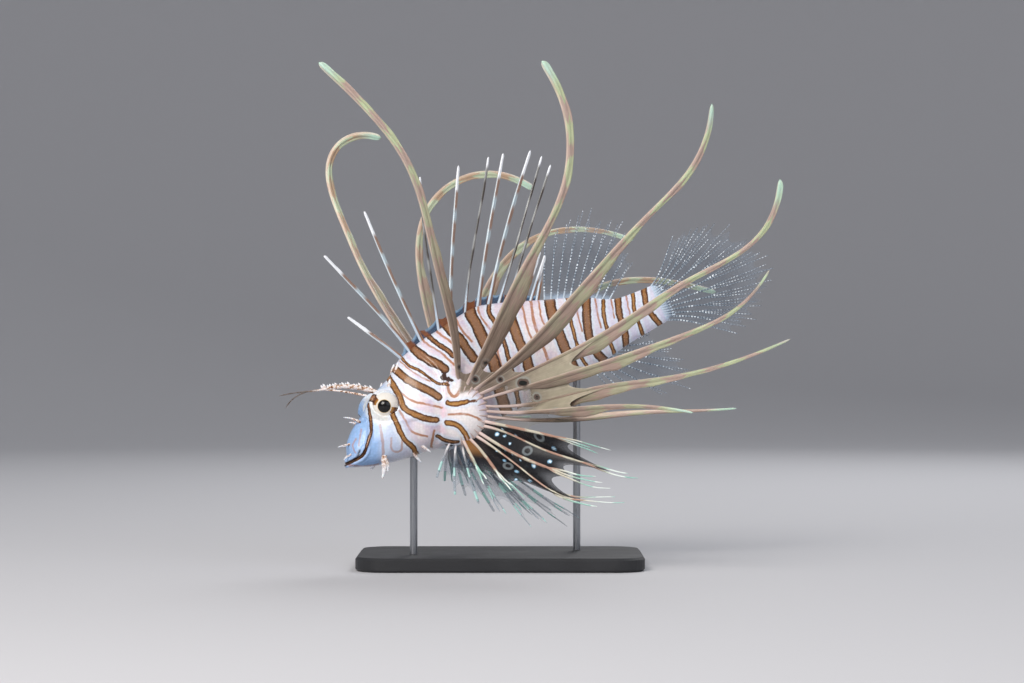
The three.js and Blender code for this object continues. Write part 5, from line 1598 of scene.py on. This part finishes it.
faceTentacles = [
    ([(9.6, -10.0, 7.0), (7.8, -14.0, 7.8), (4.8, -18.6, 7.4)], [1.3, 1.25, 0.3]),
    ([(9.6, -10.6, 7.0), (9.0, -14.0, 8.0), (7.9, -16.8, 7.9)], [0.9, 0.95, 0.3]),
    ([(8.2, 7.2, 2.6), (5.2, 10.4, 2.6), (2.2, 12.2, 3.0)], [0.7, 0.4, 0.2]),
    ([(1.0, 0.4, 1.8), (-2.4, 1.2, 2.0), (-5.2, 1.6, 2.6)], [0.6, 0.35, 0.2]),
    ([(-0.6, -3.6, 2.0), (-3.2, -3.9, 2.4), (-5.2, -4.4, 2.8)], [0.5, 0.3, 0.2]),
]
headSpines = [
    ((24.6, 15.4, 5.0), (26.0, 18.9, 5.6), 0.9, False), ((31.0, 20.4, 2.6), (33.2, 24.0, 3.0), 0.9, False),
    ((22.0, -12.8, 6.0), (23.2, -19.4, 5.6), 0.8, True), ((25.4, -11.6, 8.6), (27.6, -16.9, 9.2), 0.8, True),
]
farShare = 0.4  # of its length that a cheek spine or face tentacle stands out on the right side


def makeFaceForms(material):
    tentacles, spines = Shells(), Shells()
    for side in (1, -1):
        share = 1 if side > 0 else farShare
        for index, (line, radii) in enumerate(faceTentacles):
            line = np.array(line)
            line = lerp(line[0], line, share)
            fine = smoothLine(line, 14)
            t = np.linspace(0, 1, len(fine))
            bumps = 1 + 0.1 * np.sin(t * 30 + index)
            path = inFish(fine[:, 0], fine[:, 1], side * fine[:, 2])
            thick = blend(radii, t) * bumps * (1 - 0.8 * smoothstep(0.93, 1, t))
            addTube(tentacles, barRings(path, thick, 12), share=t, tip=t)
        for root, tip, radius, free in headSpines:
            root, tip = np.array(root), np.array(tip)
            tip = lerp(root, tip, share if free else 1)
            t = np.linspace(-0.25, 1, 22)
            line = root + (tip - root) * t[:, None]
            line[:, 0] += 0.5 * t**2
            path = inFish(line[:, 0], line[:, 1], side * line[:, 2])
            taperOut = radius * np.sqrt(np.clip(1 - np.clip(t, 0, 1) ** 1.5, 0.004, 1))
            addTube(spines, barRings(path, taperOut, 12), share=t, tip=t)
    tentacles.make("barbels", [material], "skin")
    spines.make("head_spines", [material], "skin")


# Glass eyes: each looks out along its own gaze, with a low cornea over the pupil
eyes = dict(radius=6.0, cornea=0.45, wedgeTurn=-1.8, gaze=(-0.42, 0.02, 0.91), rings=72, columns=72)


def makeEyes(material):
    for name, side in (("left", 1), ("right", -1)):
        centre = eyeCentre(side)
        along, high, left = (a + b for a, b in zip(head["eye"], eyes["gaze"]))
        gaze = unit(inFish(along, high, side * left) - centre)
        up = unit(upward - gaze * (upward @ gaze))
        across = np.cross(gaze, up)
        angle = np.linspace(0.02, math.pi - 0.02, eyes["rings"])
        turn = 2 * math.pi * np.arange(eyes["columns"]) / eyes["columns"]
        radius = eyes["radius"] + eyes["cornea"] * (1 - smoothstep(0.1, 0.62, angle))
        ring = up * np.cos(turn)[:, None] + across * np.sin(turn)[:, None]
        cos, sin = np.cos(angle)[:, None], np.sin(angle)[:, None]
        points = centre + (gaze * cos[..., None] + ring * sin[..., None]) * radius[:, None, None]
        shells = Shells()
        addTube(shells, points, off=np.degrees(angle), across=sin * np.sin(turn), up=sin * np.cos(turn))
        shells.make("glass_eye_" + name, [material], "eye", ("eye_" + name,))


makeSkin(makeSkinMaterial())
makeEyes(makeEyeMaterial())
makeDorsalSpines([makeSpineMaterial(), makeDorsalWebMaterial()])
clearSkin = makeClearWebMaterial()
makeSoftFins([makeClearRayMaterial("jointedRay", **jointedRays), clearSkin])
makePelvicFins([makeClearRayMaterial("dashedRay", **dashedRays), clearSkin])
lobeFin = [makeLobeRayMaterial(), makeLobeWebMaterial()]
web = makeWebMaterial()
makePectoral(1, "left", leftRays, [makeBladeMaterial("nearBladeSkin", False), web], lobeFin)
makePectoral(-1, "right", rightRays, [makeBladeMaterial("farBladeSkin", True), web], lobeFin)
tentacle = makeTentacleMaterial("fleckedTentacleSkin", True)
makeBrowTentacles(tentacle)
makeFaceForms(makeTentacleMaterial("paleTentacleSkin", False))
print("pieces made")


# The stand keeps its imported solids
def dress(node, material):
    for slotOfNode in frame["nodes"][node].material_slots:
        slotOfNode.material = material


# Pale floor that sweeps up all round, soft light from above and the camera's side
stage = dict(
    floor=dict(colour="#c6c6ca", flat=1.4, bend=1.0, tall=1.6, sides=96),
    camera=dict(place=(0.005, -1.222, 0.0965), lens=100.0, sensor=36.0),
    world=dict(colour="#dfe3ea", strength=0.35),
    lights=[
        dict(name="keyLight", place=(-0.5, -1.0, 0.9), aim=(0.0, 0.0, 0.1), size=0.7, power=17.0, colour="#fffaf4"),
        dict(name="fillLight", place=(0.9, -0.9, 0.75), aim=(0.0, 0.0, 0.1), size=1.0, power=3.0, colour="#eef4ff"),
        dict(name="rimLight", place=(0.4, 0.9, 0.9), aim=(0.0, 0.0, 0.12), size=0.6, power=6.0, colour="#ffffff"),
    ],
)


def makeStage():
    floor = stage["floor"]
    turn = np.linspace(0, math.pi / 2, 17)
    profile = [(floor["flat"] + floor["bend"] * math.sin(a), floor["bend"] * (1 - math.cos(a))) for a in turn]
    profile.append((floor["flat"] + floor["bend"], floor["tall"]))
    angle = 2 * math.pi * np.arange(floor["sides"]) / floor["sides"]
    points = [(radius * math.cos(a), radius * math.sin(a), z) for radius, z in profile for a in angle]
    points.append((0.0, 0.0, 0.0))
    faces = gridFaces(len(profile), floor["sides"], ring=True, flip=True)
    faces += [[len(points) - 1, side, (side + 1) % floor["sides"]] for side in range(floor["sides"])]
    mesh = bpy.data.meshes.new("sweep")
    mesh.from_pydata(points, [], faces)
    mesh.polygons.foreach_set("use_smooth", np.ones(len(mesh.polygons), bool))
    material, add = startMaterial("mattPaperSweep")
    grain = add("TexNoise", Scale=900.0, Detail=3.0)
    mesh.materials.append(finishMaterial(material, add, floor["colour"], 0.85, [(grain, 0.05, 0.2)], IOR=1.5))
    sweep = bpy.data.objects.new("sweep", mesh)
    scene = bpy.context.scene
    scene.collection.objects.link(sweep)

    view = bpy.data.cameras.new("camera")
    view.lens, view.sensor_width, view.clip_start = stage["camera"]["lens"], stage["camera"]["sensor"], 0.01
    camera = bpy.data.objects.new("camera", view)
    camera.location, camera.rotation_euler = stage["camera"]["place"], (math.pi / 2, 0, 0)
    scene.collection.objects.link(camera)
    scene.camera = camera

    world = bpy.data.worlds.new("softRoom")
    world.use_nodes = True
    background = world.node_tree.nodes["Background"]
    background.inputs["Color"].default_value = colour(stage["world"]["colour"])
    background.inputs["Strength"].default_value = stage["world"]["strength"]
    scene.world = world
    for one in stage["lights"]:
        light = bpy.data.lights.new(one["name"], "AREA")
        light.shape, light.size, light.energy = "SQUARE", one["size"], one["power"]
        light.color = colour(one["colour"])[:3]
        lamp = bpy.data.objects.new(one["name"], light)
        lamp.location = one["place"]
        lamp.rotation_euler = (Vector(one["aim"]) - Vector(one["place"])).to_track_quat("-Z", "Y").to_euler()
        scene.collection.objects.link(lamp)
    scene.view_settings.view_transform = "Standard"
    print("stage set")


dress("stand_base", makeCoatMaterial())
steel = makeSteelMaterial()
for node in ("stand_rod_front", "stand_rod_rear"):
    dress(node, steel)
makeStage()
